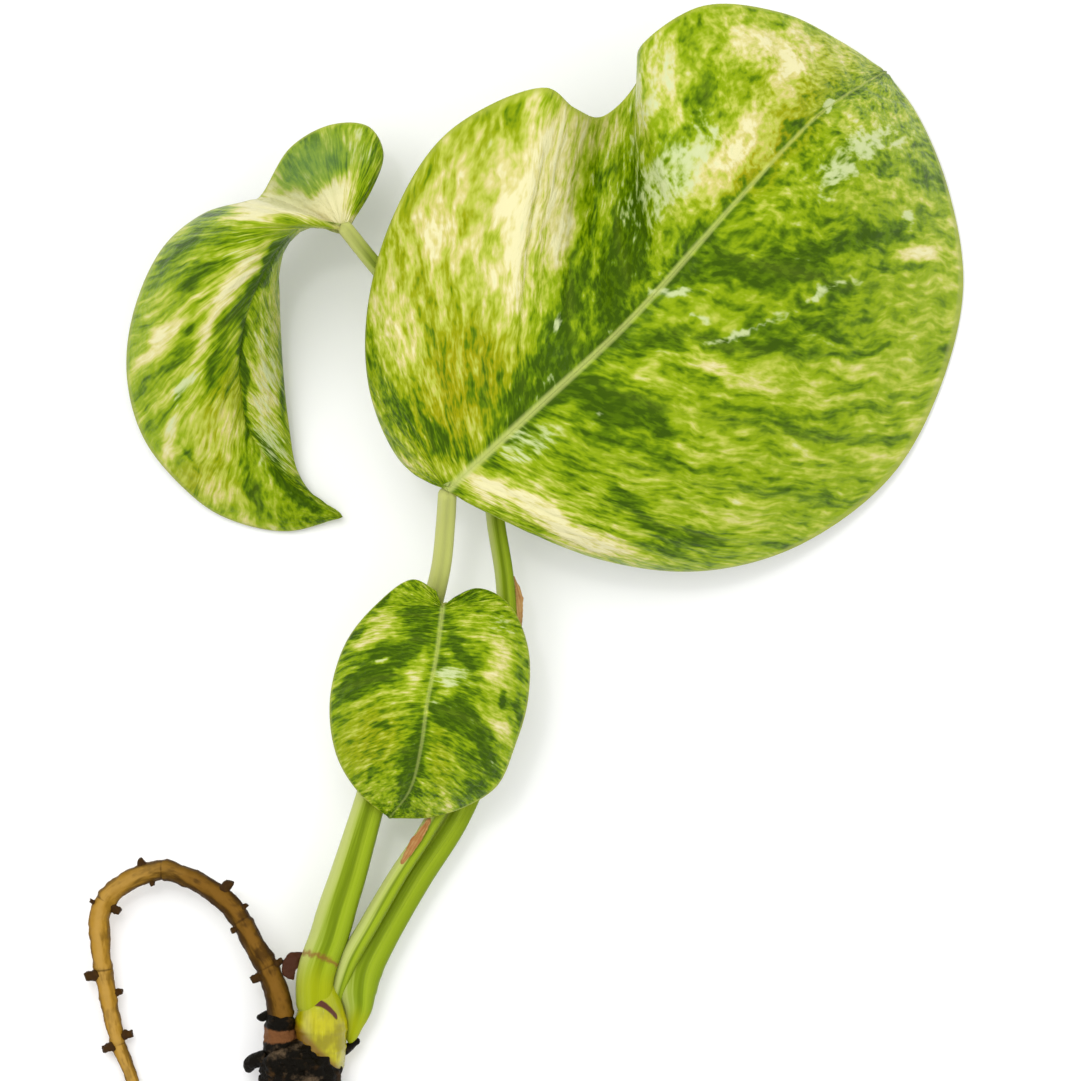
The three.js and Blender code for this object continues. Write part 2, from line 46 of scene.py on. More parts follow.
# Node maths as plain expressions: a Wire is one output socket.
class Wire:
    def __init__(self, graph, socket):
        self.graph, self.socket = graph, socket

    def maths(self, operation, first, second):
        return self.graph.node("ShaderNodeMath", {"operation": operation}, {0: first, 1: second})

    def __add__(self, other):
        return self.maths("ADD", self, other)

    def __sub__(self, other):
        return self.maths("SUBTRACT", self, other)

    def __rsub__(self, other):
        return self.maths("SUBTRACT", other, self)

    def __mul__(self, other):
        return self.maths("MULTIPLY", self, other)

    __radd__ = __add__
    __rmul__ = __mul__


# Any node: its settings are set first, then its sockets get values or links.
class Graph:
    def __init__(self, tree):
        self.tree = tree

    def node(self, kind, settings=None, values=None, output=0):
        made = self.tree.nodes.new(kind)
        for name, value in (settings or {}).items():
            setattr(made, name, value)
        for name, value in (values or {}).items():
            if isinstance(value, Wire):
                self.tree.links.new(value.socket, made.inputs[name])
            else:
                made.inputs[name].default_value = value
        return Wire(self, made.outputs[output])

    def grain(self, vector, scale, detail=3.0, roughness=0.55):
        values = {"Vector": vector, "Scale": scale, "Detail": detail, "Roughness": roughness}
        return self.node("ShaderNodeTexNoise", values=values)


# A principled material whose colour, roughness and relief come from nodes.
class Paint(Graph):
    def __init__(self, name, **fixed):
        self.material = bpy.data.materials.new(name)
        self.material.use_nodes = True
        super().__init__(self.material.node_tree)
        self.surface = self.tree.nodes["Principled BSDF"]
        for socket, value in fixed.items():
            self.surface.inputs[socket.replace("_", " ")].default_value = value

    def own(self, name):
        return self.node("ShaderNodeAttribute", {"attribute_name": name}, output=2)

    def place(self):
        return self.node("ShaderNodeTexCoord", output=3)

    def step(self, value, low, high):
        values = {"Value": value, "From Min": low, "From Max": high}
        return self.node("ShaderNodeMapRange", {"interpolation_type": "SMOOTHSTEP"}, values)

    def blend(self, share, first, second):
        first, second = ((*c, 1) if isinstance(c, tuple) else c for c in (first, second))
        return self.node("ShaderNodeMix", {"data_type": "RGBA"}, {0: share, 6: first, 7: second}, output=2)

    def vector(self, x, y, z):
        return self.node("ShaderNodeCombineXYZ", values={0: x, 1: y, 2: z})

    def wear(self, **links):
        for name, wire in links.items():
            self.tree.links.new(wire.socket, self.surface.inputs[name.replace("_", " ")])

    def relief(self, height, strength, distance):
        values = {"Strength": strength, "Distance": distance, "Height": height}
        self.wear(Normal=self.node("ShaderNodeBump", values=values))


# Camera and lights: straight above, long lens, soft light from the upper left.
view = {"widthSeen": 172.96 * mm, "height": 2.0, "heightOfWidth": 16 * mm,
        "middle": (1.97 * mm, 5.6 * mm), "sensor": 36.0}


def makeCamera():
    camera = bpy.data.objects.new("camera", bpy.data.cameras.new("camera"))
    bpy.context.scene.collection.objects.link(camera)
    camera.location = (*view["middle"], view["height"])
    camera.data.sensor_width = view["sensor"]
    camera.data.lens = view["sensor"] * (view["height"] - view["heightOfWidth"]) / view["widthSeen"]
    camera.data.clip_start, camera.data.clip_end = 0.05, 20
    bpy.context.scene.camera = camera
    bpy.context.scene.view_settings.view_transform = "Standard"


lights = {"key": {"at": (-0.4, 0.45, 1.2), "size": 0.9, "power": 8.0},
          "fill": {"at": (0.8, -0.3, 0.9), "size": 1.2, "power": 4.0},
          "glint": {"at": (-0.22, 0.3, 1.3), "size": 0.1, "power": 1.3},
          "sky": 0.95}


def makeLights():
    for name in ("key", "fill", "glint"):
        spec = lights[name]
        lamp = bpy.data.lights.new(name, "AREA")
        lamp.energy, lamp.size = spec["power"], spec["size"]
        lampObject = bpy.data.objects.new(name, lamp)
        lampObject.location = spec["at"]
        lampObject.visible_glossy = name == "glint"
        lampObject.rotation_euler = (-Vector(spec["at"])).to_track_quat("-Z", "Y").to_euler()
        bpy.context.scene.collection.objects.link(lampObject)
    world = bpy.data.worlds.new("studio")
    world.use_nodes = True
    world.node_tree.nodes["Background"].inputs["Color"].default_value = (1, 1, 1, 1)
    world.node_tree.nodes["Background"].inputs["Strength"].default_value = lights["sky"]
    bpy.context.scene.world = world


def makeFloor():
    paint = Paint("floorPaint", Roughness=0.9)
    paint.surface.inputs["Base Color"].default_value = (0.93, 0.93, 0.93, 1)
    half = 3.0
    corners = [(-half, -half, 0), (half, -half, 0), (half, half, 0), (-half, half, 0)]
    floor = meshObject("floor", corners, [(0, 1, 2, 3)], [paint.material])


def meshObject(name, points, faces, materials):
    mesh = bpy.data.meshes.new(name)
    mesh.from_pydata([tuple(p) for p in points], [], [tuple(f) for f in faces])
    for material in materials:
        mesh.materials.append(material)
    mesh.polygons.foreach_set("use_smooth", [True] * len(mesh.polygons))
    mesh.update()
    made = bpy.data.objects.new(name, mesh)
    bpy.context.scene.collection.objects.link(made)
    return made


# A smooth rail through a few points, read at u in 0..1.
class Rail:
    def __init__(self, points):
        self.points = np.array(points, float)

    def at(self, u):
        points, last = self.points, len(self.points) - 1
        place = min(max(u, 0), 1) * last
        i = min(int(place), last - 1)
        share = place - i
        p1, p2 = points[i], points[i + 1]
        p0 = points[i - 1] if i > 0 else 2 * p1 - p2
        p3 = points[i + 2] if i + 2 <= last else 2 * p2 - p1
        pairs = ((p0, p1), (p1, p2), (p2, p3))
        d0, d1, d2 = (max(np.linalg.norm(b - a), 1e-9) ** 0.5 for a, b in pairs)
        m1 = ((p1 - p0) / d0 - (p2 - p0) / (d0 + d1) + (p2 - p1) / d1) * d1
        m2 = ((p2 - p1) / d1 - (p3 - p1) / (d1 + d2) + (p3 - p2) / d2) * d1
        return ((2 * p1 - 2 * p2 + m1 + m2) * share ** 3 + (-3 * p1 + 3 * p2 - 2 * m1 - m2) * share ** 2
                + m1 * share + p1)

    def evenly(self, count, fine=400):
        dense = np.array([self.at(k / fine) for k in range(fine + 1)])
        run = np.concatenate([[0], np.cumsum(np.linalg.norm(np.diff(dense, axis=0), axis=1))])
        wanted = np.linspace(0, run[-1], count)
        return np.stack([np.interp(wanted, run, dense[:, k]) for k in range(3)], axis=1)


# Leaf outlines in hundredths of the leaf's length from where the stalk meets the blade, heights in mm.
# A margin entry is (along, x, y, height, lift): where on the midrib its vein starts, and how far the
# blade bulges up halfway along that vein.
largeLeaf = {
    "node": "blade_large_leaf", "length": 100, "thickness": 0.55,
    "midrib": [(0, 0, 28), (13, 12, 34), (29, 27, 38), (45, 45, 36), (58, 59, 28), (66, 65, 15),
               (70.5, 67.8, 2.5)],
    "left": [(0, -2, 2, 27, 0), (0, -7, 4, 23, 1), (0, -12, 14, 24, 3), (0, -13, 27, 27, 4),
             (0.03, -9, 43, 29, 4), (0.07, 0, 57, 32, 4), (0.13, 15.5, 64, 37, 3), (0.2, 20, 61, 33, 1),
             (0.3, 25, 60, 24, -2), (0.38, 30, 65, 22, -1), (0.46, 31, 71, 33, 3),
             (0.58, 40, 77, 33, 3), (0.7, 53, 76.5, 24, 3), (0.84, 63.5, 72, 12, 2),
             (1, 70.5, 67.8, 2.5, 0)],
    "right": [(0, 4, -2, 27, 0), (0, 12, -6, 24, 2), (0, 24, -11, 19, 5), (0.03, 40, -13, 13, 8),
              (0.1, 56, -9, 7, 9), (0.2, 71, 2, 3, 10), (0.32, 79, 16, 1.2, 10), (0.46, 83, 33, 1, 9),
              (0.62, 80.5, 49, 1.5, 8), (0.8, 75.5, 61, 2, 4), (1, 70.5, 67.8, 2.5, 0)],
    "lobeRows": 60, "rows": 170, "columns": 60, "bend": 5.0, "veins": 13, "veinDepth": 0.16, "pucker": 0.22,
    "ribWidth": (0.85, 0.16), "ribRise": 0.3, "ribDepth": (1.3, 0.3), "ribTint": 1.0, "ribShade": 1.0,
    "streaks": (6.5, 7.5), "flecks": (16, 21),
    # Soft patches (x, y, turn in degrees, half length, half width, amount) on the blade.
    "tone": [(-3, 10, -52, 9, 3, -1.1), (-11, 20, -75, 9, 2.5, -0.5), (-6, 4, -10, 6, 1.6, 0.5),
             (-8, 22, -70, 9, 4, 0.8), (-6, 36, 80, 14, 7, 0.75), (4, 48, 72, 20, 9, 0.85),
             (15, 46, 75, 22, 6, 1.2), (22, 58, 10, 8, 3.5, 0.6), (4, 14, 75, 9, 6, -0.1),
             (9, 33, 80, 12, 3, 0.4), (3, 43, 80, 5, 1.2, -1.0), (-7, 44, 80, 6, 1.4, -0.8),
             (6.5, 53, 70, 5, 1.3, -1.2), (11, 61, 60, 4, 1.2, -0.9), (-3, 53, 60, 5, 1.0, -0.7),
             (7, 38, 60, 4, 1.0, -0.8), (1, 34, 100, 6, 1.2, -0.7), (-4, 30, 100, 8, 1.2, -0.6),
             (16, 22, 62, 13, 4.2, -1.8), (28, 35, 72, 14, 3.2, -1.9), (22, 42, 75, 12, 2.5, -0.8),
             (22, 27, 68, 8, 1.5, 0.9), (27, 50, 75, 10, 3, -0.1), (35, 46, 62, 14, 4, 0.6),
             (34, 66, 80, 9, 4, 0.8), (41, 62, 62, 8, 2.2, -0.7), (51, 70, 5, 9, 2.6, 1.2),
             (64, 63, -40, 12, 5, 0.2), (52, 40, 20, 20, 11, -0.4), (44, 70, 30, 16, 7, 0.35),
             (43, 51, 62, 7, 3, 1.4), (51, 62, 50, 10, 2.8, 1.4), (59, 68, 25, 7, 2, 0.8),
             (52, 54, 45, 12, 3.5, 0.2), (65, 55, 28, 9, 3.5, 0.5), (49, 35.5, 4, 11, 2.4, -1.5),
             (63, 38.5, 18, 9, 2, -1.1), (49, 24.5, 8, 13, 2.6, -1.1), (60, 12, -10, 24, 12, -0.05),
             (33, 23, 0, 7, 2.2, -1.2), (27, 14, -6, 9, 3.2, -1.5), (34, 12, 80, 3.5, 2, -0.9),
             (24, 6, -10, 9, 4, -0.3), (13, 7, 20, 5, 2.4, 0.4), (6, 0.5, -20, 6, 2.4, 1.6),
             (15, -4, -28, 8, 2.2, 1.8), (24, -7.5, -25, 8, 1.8, 1.5), (31, -4, -38, 9, 1.6, -0.9),
             (40, -9, -10, 9, 2.4, -0.6), (50, 17, -22, 12, 1.6, 0.8), (42, 20, -20, 8, 1.3, 0.7),
             (75, 37, 0, 3, 1.1, 2.0), (73, 44.5, 60, 3.4, 2.2, 0.6), (58, 12, 0, 16, 8, 0.05),
             (80, 30, 85, 22, 3, 0.25), (62, 24, 25, 8, 3, -0.6), (74, 56, -60, 10, 3, -0.4)],
    # Painted sheen: patches where pale mint streaks stand in for glossy highlights.
    "paintedSheen": [(36, 50, 62, 11, 5, 1.0), (33, 66, 80, 9, 4, 0.7), (66, 55, 26, 9, 3, 1.0),
             (61, 49, 30, 5, 2, 0.7), (13, 7, 20, 4.5, 2.6, 0.9), (37, 31, 0, 5, 0.8, 1.0),
             (39, 26.7, 5, 2.5, 0.7, 0.9), (47, 25.8, 22, 9, 0.7, 1.0), (60, 31, 12, 8, 0.7, 1.0),
             (73, 44.5, 60, 3.2, 2.2, 0.8), (27, 52, 70, 9, 4, 0.4), (18.5, 27, 75, 1.5, 1.0, 1.0),
             (25, 13.6, 0, 1.2, 0.8, 0.9), (60, 61.5, 45, 1.6, 1.1, 1.2)],
    "olive": [(3, 16, 75, 13, 7, 0.9), (-4, 36, 85, 22, 8, 0.55), (49.2, 54.2, 45, 11, 4.2, 1.0),
              (6, 50, 70, 14, 7, 0.35), (57, 67, 30, 10, 4, 0.5)],
    "shadeAndMatte": [],
}

curledLeaf = {
    "node": "blade_curled_leaf", "length": 46, "thickness": 0.5,
    "midrib": [(0, 0, 26), (-8, 1, 29), (-15, 1, 29.5), (-24, -8, 27), (-31, -21, 23), (-36, -37, 18),
               (-37, -54, 13), (-34, -70, 9), (-21, -87, 5), (-1, -100, 2)],
    "left": [(0, -2, 0, 23, 0), (0, -5, 2, 18, 0), (0.08, -10, 3, 14, 0), (0.16, -17, 0, 12, 0),
             (0.26, -24, -11, 10, 0), (0.36, -23, -30, 9, 0), (0.48, -22, -49, 7, 0),
             (0.6, -20, -68, 5, 0), (0.75, -17, -84, 3, 0), (0.88, -11, -93, 2.5, 0),
             (1, -1, -100, 2, 0)],
    "right": [(0, 3, 2, 25, 0), (0, 10, 14, 22, 0), (0, 14, 27, 20, 1), (0, 9, 36, 19, 1),
              (0, -4, 37, 17, 1), (0, -19, 29, 14, 1), (0, -29, 13, 12, 0), (0.04, -34, 10, 20, 8),
              (0.1, -49, 6, 17, 10), (0.17, -64, -6, 14, 9), (0.27, -75, -30, 10, 8),
              (0.38, -77, -52, 7, 7), (0.5, -71, -73, 4.5, 5), (0.62, -56, -91, 3, 4),
              (0.74, -43, -100, 2, 3), (0.86, -21, -105, 1.5, 1.5), (1, -1, -100, 2, 0)],
    "lobeRows": 80, "rows": 150, "columns": 44, "bend": 0.0, "veins": 11, "veinDepth": 0.12, "pucker": 0.15,
    "ribWidth": (0.7, 0.4), "ribRise": -0.25, "ribDepth": (0.6, 0.2), "ribTint": 0.0, "ribShade": 0.6,
    "streaks": (7.5, 2.6), "flecks": (19, 7),
    # The long, narrow dark patches along the midrib groove are painted shade in the fold, and the broad
    # dark patch on the back lobe at (-12, 22) is painted shade too.
    "tone": [(-22, 8, -3, 20, 5.2, 3.1), (-42, -50, 60, 60, 34, 0.35), (-3, 4, -32, 10, 4, 2.2),
             (-2, 12, 50, 7, 5, 2.2), (-24, 18, 50, 5, 3, 1.0), (-12, 22, 30, 14, 8, -0.6),
             (4, 32, 90, 7, 4, 0.5), (8, 15, 75, 8, 2.5, -0.7), (-26, 12, 10, 5, 1.6, -0.7),
             (-46, 5, 25, 9, 2.6, -1.1), (-56, -6, 45, 11, 3, -1.1), (-38, 3, 12, 9, 1.2, 0.9),
             (-30, 4, 0, 8, 1.5, 0.4), (-51, -16, 30, 11, 3.4, -1.7), (-66, -16, 60, 9, 2.6, -0.8),
             (-36, -4, 10, 12, 2.4, -0.2), (-40, -22, 52, 18, 4.2, 1.6), (-49, -38, 62, 9, 3, 0.8),
             (-64, -38, 42, 10, 4, 1.7), (-52, -22, 20, 5, 1.6, 0.9), (-58, -44, 40, 9, 1.8, -1.1),
             (-70, -41, 50, 3, 1.3, -1.2), (-55, -34, 60, 3, 1.6, -1.2), (-66, -50, 30, 8, 1.4, -1.0),
             (-62, -56, 50, 14, 2, 0.5), (-38, -28, 55, 11, 3, -1.9), (-46, -48, 68, 13, 2.4, -1.4),
             (-36.5, -45, 88, 12, 1.4, -1.8), (-27, -13, 60, 13, 2.2, -2.4),
             (-35.5, -50, 92, 24, 1.1, -1.6), (-43, -70, 80, 14, 4, 0.7), (-68, -66, 100, 9, 2, -0.8),
             (-61, -70, 80, 10, 2.4, 0.7), (-54, -80, 115, 6, 1.2, -1.2), (-62, -82, 100, 2.5, 1.2, -1.0),
             (-52, -88, -20, 12, 4, 0.7), (-44, -79, 95, 4, 1.0, -0.7), (-34, -88, -70, 14, 3, -0.8),
             (-28, -75, -60, 12, 2, -0.9), (-20, -90, -42, 13, 2, -1.8), (-22, -100, -10, 12, 2.4, -0.2),
             (-28, -55, 90, 24, 3.5, 1.1), (-22.5, -54, 93, 16, 1.6, -1.3), (-27, -38, 95, 9, 1.3, -0.8),
             (-22, -76, -70, 9, 2.4, 0.4)],
    "paintedSheen": [(-28, -50, 90, 26, 4.5, 0.8), (-24, -76, -70, 10, 4, 0.8), (-56, -55, 50, 9, 2, 0.9),
             (-60, -68, 80, 10, 3, 0.5), (5, 30, 90, 8, 5, 0.6), (-36, -8, 20, 12, 5, 0.5)],
    "olive": [(-44, -66, 80, 18, 7, 0.7), (-50, -88, -10, 14, 6, 0.6), (-14, 6, 0, 14, 5, 0.25)],
    # Back lobe: painted shade as a darker blue-green, and a more matte finish.
    "shadeAndMatte": [(-12, 22, 30, 18, 11, 0.9)],
}

smallLeaf = {
    "node": "blade_small_leaf", "length": 35, "thickness": 0.5,
    "midrib": [(0, 0, 24), (-3, -23, 26), (-7, -43, 26.5), (-10, -64, 25), (-15, -83, 21),
               (-25, -97, 16)],
    "left": [(0, 3, 3, 24, 0), (0, 16, 9, 23, 0.5), (0, 30, 2, 21, 1.5), (0.1, 39, -18, 19.5, 2.5),
             (0.25, 39, -43, 18.5, 3), (0.42, 33, -64, 17.5, 3), (0.58, 25, -82, 16.5, 2),
             (0.74, 10, -92, 15.5, 1.5), (0.88, -8, -97, 15, 0.5), (1, -25, -97, 16, 0)],
    "right": [(0, -3, 8, 24, 0), (0, -14, 13, 23, 0.5), (0, -31, 1, 21.5, 1.5),
              (0.12, -45, -17, 20.5, 2.5), (0.3, -52, -43, 19.5, 3), (0.5, -49, -68, 18.5, 2.5),
              (0.72, -39, -85, 18, 1.5), (1, -25, -97, 16, 0)],
    "lobeRows": 50, "rows": 110, "columns": 40, "bend": 5.0, "veins": 9, "veinDepth": 0.1, "pucker": 0.12,
    "ribWidth": (0.55, 0.2), "ribRise": 0.12, "ribDepth": (0.5, 0.15), "ribTint": 0.7, "ribShade": 0.7,
    "streaks": (6, 3.2), "flecks": (14, 9),
    "tone": [(-6, -45, 80, 70, 55, -0.3), (-14, -3, 0, 13, 4.5, -1.3), (-27, 3, 50, 4, 2, -1.4),
             (-10, -12, 80, 8, 5, -0.9), (-27, -7, 32, 11, 4, 1.6), (-40, -13, 32, 9, 2, -1.5),
             (-33, -16, 24, 13, 1.6, 1.0), (-26, -26, 36, 16, 7, -1.7), (-42, -38, 48, 12, 4, -1.2),
             (-27, -25, 20, 3.5, 1.5, 2.6), (-46, -27, 60, 8, 2.5, -0.2), (-33, -60, 50, 16, 12, 0.35),
             (-28, -55, 20, 3, 1.8, -1.1), (-29, -68, 55, 6, 1.8, -1.2), (-33, -76, 75, 5, 1.6, -0.9),
             (-12, -30, 62, 13, 4, 1.2), (2, -32, 0, 8, 4, 0.7), (-8, -44, 85, 8, 1.6, 0.8),
             (8, -22, -65, 11, 2.4, -1.4), (6, -12, -62, 9, 2.6, -0.4), (7, -47, 60, 8, 6, -1.2),
             (0, -50, -55, 9, 3.4, -1.3), (15, -56, -60, 16, 5, -1.4), (21, -68, -60, 9, 3, -1.7),
             (15, -82, 60, 10, 6, -1.0), (20, -10, -20, 9, 5, 1.0), (24, -28, 80, 14, 6, 1.0),
             (13, 6, 10, 9, 3, -0.9), (17, -17, 0, 8, 5, 0.3), (27, -41, 85, 4, 1.6, -1.5),
             (35, -48, 100, 9, 2, -1.4), (34, -28, 100, 10, 2, -0.5), (28, -56, -70, 12, 3.2, 1.2),
             (22, -57, -45, 3, 1.6, -1.3), (-14, -70, 78, 18, 4.4, -1.4), (-18, -85, 80, 9, 3, -0.9),
             (-1, -70, 88, 12, 3.4, 0.1), (2, -88, -70, 9, 1.8, 1.0), (-6, -92, 85, 6, 1.5, 0.8),
             (-26, -96, 0, 4, 2, -1.0), (-38, -80, 60, 8, 3, 0.3)],
    "paintedSheen": [(3, -32, 0, 9, 4.5, 1.0), (-12, -32, 60, 9, 4, 0.5), (24, -8, -10, 9, 5, 0.5),
             (-27, -25, 20, 3.2, 1.4, 0.8)],
    "olive": [(-33, -60, 50, 18, 14, 0.5), (-1, -68, 88, 16, 6, 0.3)],
    "shadeAndMatte": [],
}


def patchAmount(patches, places):
    total = np.zeros(len(places))
    for x, y, turn, long, short, amount in patches:
        c, sn = math.cos(math.radians(turn)), math.sin(math.radians(turn))
        dx, dy = places[:, 0] - x, places[:, 1] - y
        reach = ((dx * c + dy * sn) / long) ** 2 + ((dy * c - dx * sn) / short) ** 2
        total += amount * np.exp(-reach ** 1.5)
    return total


# Bends the patch edges a little so that none is a plain oval; the shifts are fixed, as a seed would be.
patchShifts = (Vector((3.7, 0.0, 1.3)), Vector((0.0, 8.2, 5.6)))


def bentPlaces(places):
    def bend(place):
        point = Vector((place[0], place[1], 0.0))
        return [noise.noise(point * 0.11 + shift) * 2.2 + noise.noise(point * 0.4 + shift) * 0.9
                for shift in patchShifts]
    return places + np.array([bend(place) for place in places])


leafInset = 0.4  # mm that a blade's middle surface stays inside its plain solid's box


def leafSide(leaf, entries, turn, rowPlaces):
    scale = leaf["length"] / 100
    toMm = np.array([scale, scale, 1])
    midrib = Rail([np.array(p) * toMm for p in leaf["midrib"]])
    margin = Rail([np.array(e[1:4]) * toMm for e in entries])
    starts = [e[0] for e in entries]
    lifts = [e[4] for e in entries]
    last = len(entries) - 1
    lobeEnd = max(k for k in range(last) if starts[k] == 0)
    index = list(range(last + 1))
    rows = [(0.0, lobeEnd * k / leaf["lobeRows"]) for k in range(leaf["lobeRows"] + 1)]
    rows += [(along, np.interp(along, starts[lobeEnd:], index[lobeEnd:])) for along in rowPlaces]
    shares = np.linspace(0, 1, leaf["columns"] + 1) ** 1.35
    tipWay = np.array([leaf["midrib"][-1][0], leaf["midrib"][-1][1], 0], float)
    tipWay /= np.linalg.norm(tipWay)
    points, places, notes = [], [], []
    for along, u in rows:
        start, end = midrib.at(along), margin.at(u / last)
        lift = np.interp(u, index, lifts)
        bow = 4 * shares * (1 - shares)
        row = start + np.outer(shares, end - start)
        row[:, 2] += lift * bow
        fan = min(1, along * 6)
        row -= np.outer(bow * leaf["bend"] * fan * (1 - along) * scale, tipWay)
        points.append(row)
        same = np.ones(len(shares))
        notes.append(np.stack([same * along, same * (u / last), shares], axis=1))
        places.append(row[:, :2] / scale)
    return np.array(points), np.array(places), np.array(notes), turn


def buildBlade(leaf, materials):
    along = [(k / leaf["rows"]) ** 1.4 for k in range(1, leaf["rows"] + 1)]
    sides = [leafSide(leaf, leaf["left"], 1, along), leafSide(leaf, leaf["right"], -1, along)]
    points, places, notes, sign, faces = [], [], [], [], []
    known = {}

    def vertex(point, place, note, turn):
        spot = tuple(np.round(point, 3))
        if spot not in known:
            known[spot] = len(points)
            points.append(point)
            places.append(place)
            notes.append(note)
            sign.append(turn)
        return known[spot]

    for grid, placeGrid, noteGrid, turn in sides:
        ids = [[vertex(p, q, n, turn) for p, q, n in zip(*row)] for row in zip(grid, placeGrid, noteGrid)]
        for r in range(len(ids) - 1):
            for c in range(len(ids[0]) - 1):
                loop = [ids[r][c], ids[r + 1][c], ids[r + 1][c + 1], ids[r][c + 1]]
                loop = [v for k, v in enumerate(loop) if v != loop[k - 1]]
                if len(loop) > 2 and len(set(loop)) == len(loop):
                    faces.append(loop if turn > 0 else loop[::-1])
    points, places, notes, sign = (np.array(a, float) for a in (points, places, notes, sign))

    # Fit the blade over its plain solid, then find its normals.
    low, high = boxOf(leaf["node"])
    low, high = low + leafInset, high - leafInset
    mine = (points.min(axis=0), points.max(axis=0))
    points = (points - mine[0]) / (mine[1] - mine[0]) * (high - low) + low
    middle = meshObject("middle", points, faces, [])
    normals = np.empty(len(points) * 3)
    middle.data.vertices.foreach_get("normal", normals)
    normals = normals.reshape(-1, 3)
    bpy.data.objects.remove(middle)

    # Raised midrib, sunken side veins, and soft puckers between them.
    alongs, us, shares = notes[:, 0], notes[:, 1], notes[:, 2]
    ribWidth = np.interp(alongs, (0, 1), leaf["ribWidth"])
    fromRib = ribDistance(points, notes)
    rib = np.exp(-(fromRib / ribWidth) ** 2)
    groove = np.exp(-(fromRib / (2.6 * ribWidth)) ** 2)
    phase = us * leaf["veins"]
    near = np.abs(phase - np.round(phase))
    body = np.clip(shares * 4, 0, 1) * np.clip((1 - shares) * 5, 0, 1)
    vein = np.exp(-(near / 0.07) ** 2) * body
    pucker = np.sin(np.pi * np.clip(near * 2, 0, 1)) * body
    top = leaf["ribRise"] * (rib - groove) - leaf["veinDepth"] * vein + leaf["pucker"] * pucker
    under = np.interp(alongs, (0, 1), leaf["ribDepth"]) * np.exp(-(fromRib / (1.1 * ribWidth)) ** 2)
    under += 0.25 * leaf["veinDepth"] * vein - leaf["pucker"] * pucker * 0.8
    half = leaf["thickness"] / 2 * (1 - 0.55 * shares ** 10)
    upper = points + normals * (half + top)[:, None]
    lower = points - normals * (half + under)[:, None]

    count = len(points)
    shell = [list(f) for f in faces] + [[v + count for v in reversed(f)] for f in faces]
    edges = {}
    for face in faces:
        for a, b in zip(face, face[1:] + face[:1]):
            if (b, a) in edges:
                del edges[(b, a)]
            else:
                edges[(a, b)] = True
    rim = [[b, a, a + count, b + count] for a, b in edges]
    allPoints = np.concatenate([upper, lower]) * mm
    blade = meshObject(leaf["node"].replace("blade_", "") + "_fine", allPoints, shell + rim, materials)
    kinds = [0] * len(faces) + [1] * len(faces) + [0] * len(rim)
    blade.data.polygons.foreach_set("material_index", kinds)
    places = bentPlaces(places)
    ribFade = leaf["ribTint"] * np.interp(alongs, (0, 1), (1, 0.4))
    attributes = {
        "veinPlace": sign * us * 10, "fromRib": shares, "veinMask": vein,
        "ribMask": ribFade * np.exp(-(fromRib / (0.85 * ribWidth)) ** 4),
        # Painted shade: the tone is darkened in the grooves either side of the raised midrib.
        "tone": patchAmount(leaf["tone"], places) - leaf["ribShade"] * (groove - rib),
        "paintedSheen": patchAmount(leaf["paintedSheen"], places),
        "olive": np.clip(patchAmount(leaf["olive"], places), 0, 1),
        "shadeAndMatte": np.clip(patchAmount(leaf["shadeAndMatte"], places), 0, 1),
    }
    addValues(blade, **{name: np.concatenate([values, values]) for name, values in attributes.items()})
    claim(blade, "leaf_blade", leaf["node"])


# Distance in mm from each point to the midrib point its vein starts at.
def ribDistance(points, notes):
    onRib = notes[:, 2] == 0
    order = np.argsort(notes[onRib, 0])
    alongs = notes[onRib, 0][order]
    rib = points[onRib][order]
    start = np.stack([np.interp(notes[:, 0], alongs, rib[:, k]) for k in range(3)], axis=1)
    away = points - start
    tangent = np.gradient(rib, axis=0)
    tangent /= np.maximum(np.linalg.norm(tangent, axis=1), 1e-9)[:, None]
    way = np.stack([np.interp(notes[:, 0], alongs, tangent[:, k]) for k in range(3)], axis=1)
    way /= np.linalg.norm(way, axis=1)[:, None]
    plain = np.linalg.norm(away, axis=1)
    run = (away * way).sum(axis=1)
    across = np.linalg.norm(away - way * run[:, None], axis=1)
    return np.where((notes[:, 0] <= 0) & (run < 0), plain, across)


def boxOf(node):
    return (np.array(corner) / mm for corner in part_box(node)[:2])


# Marbled leaf: cream, yellow-green and dark green streaks that follow the veins, with painted sheen and
# painted shade laid over them.
marbling = {
    "dark": (0.034, 0.075, 0.0), "green": (0.088, 0.165, 0.0), "lime": (0.21, 0.305, 0.002),
    "pale": (0.38, 0.43, 0.05), "cream": (0.56, 0.51, 0.2), "white": (0.65, 0.61, 0.34),
    "paintedSheen": (0.48, 0.54, 0.28), "rib": (0.4, 0.45, 0.12), "olive": (0.27, 0.26, 0.0),
    "tan": (0.5, 0.44, 0.12), "shadeAndMatte": (0.115, 0.21, 0.06), "under": (0.34, 0.42, 0.14),
    "edges": (0.34, 0.44, 0.565, 0.67, 0.77), "softness": 0.07, "gain": 1.6, "patchGain": 0.155,
    "mix": (0.29, 0.34, 0.3, 0.07),  # shares of broad cloud, streak, fleck and speck
    "roughTop": 0.26, "roughUnder": 0.46,
}


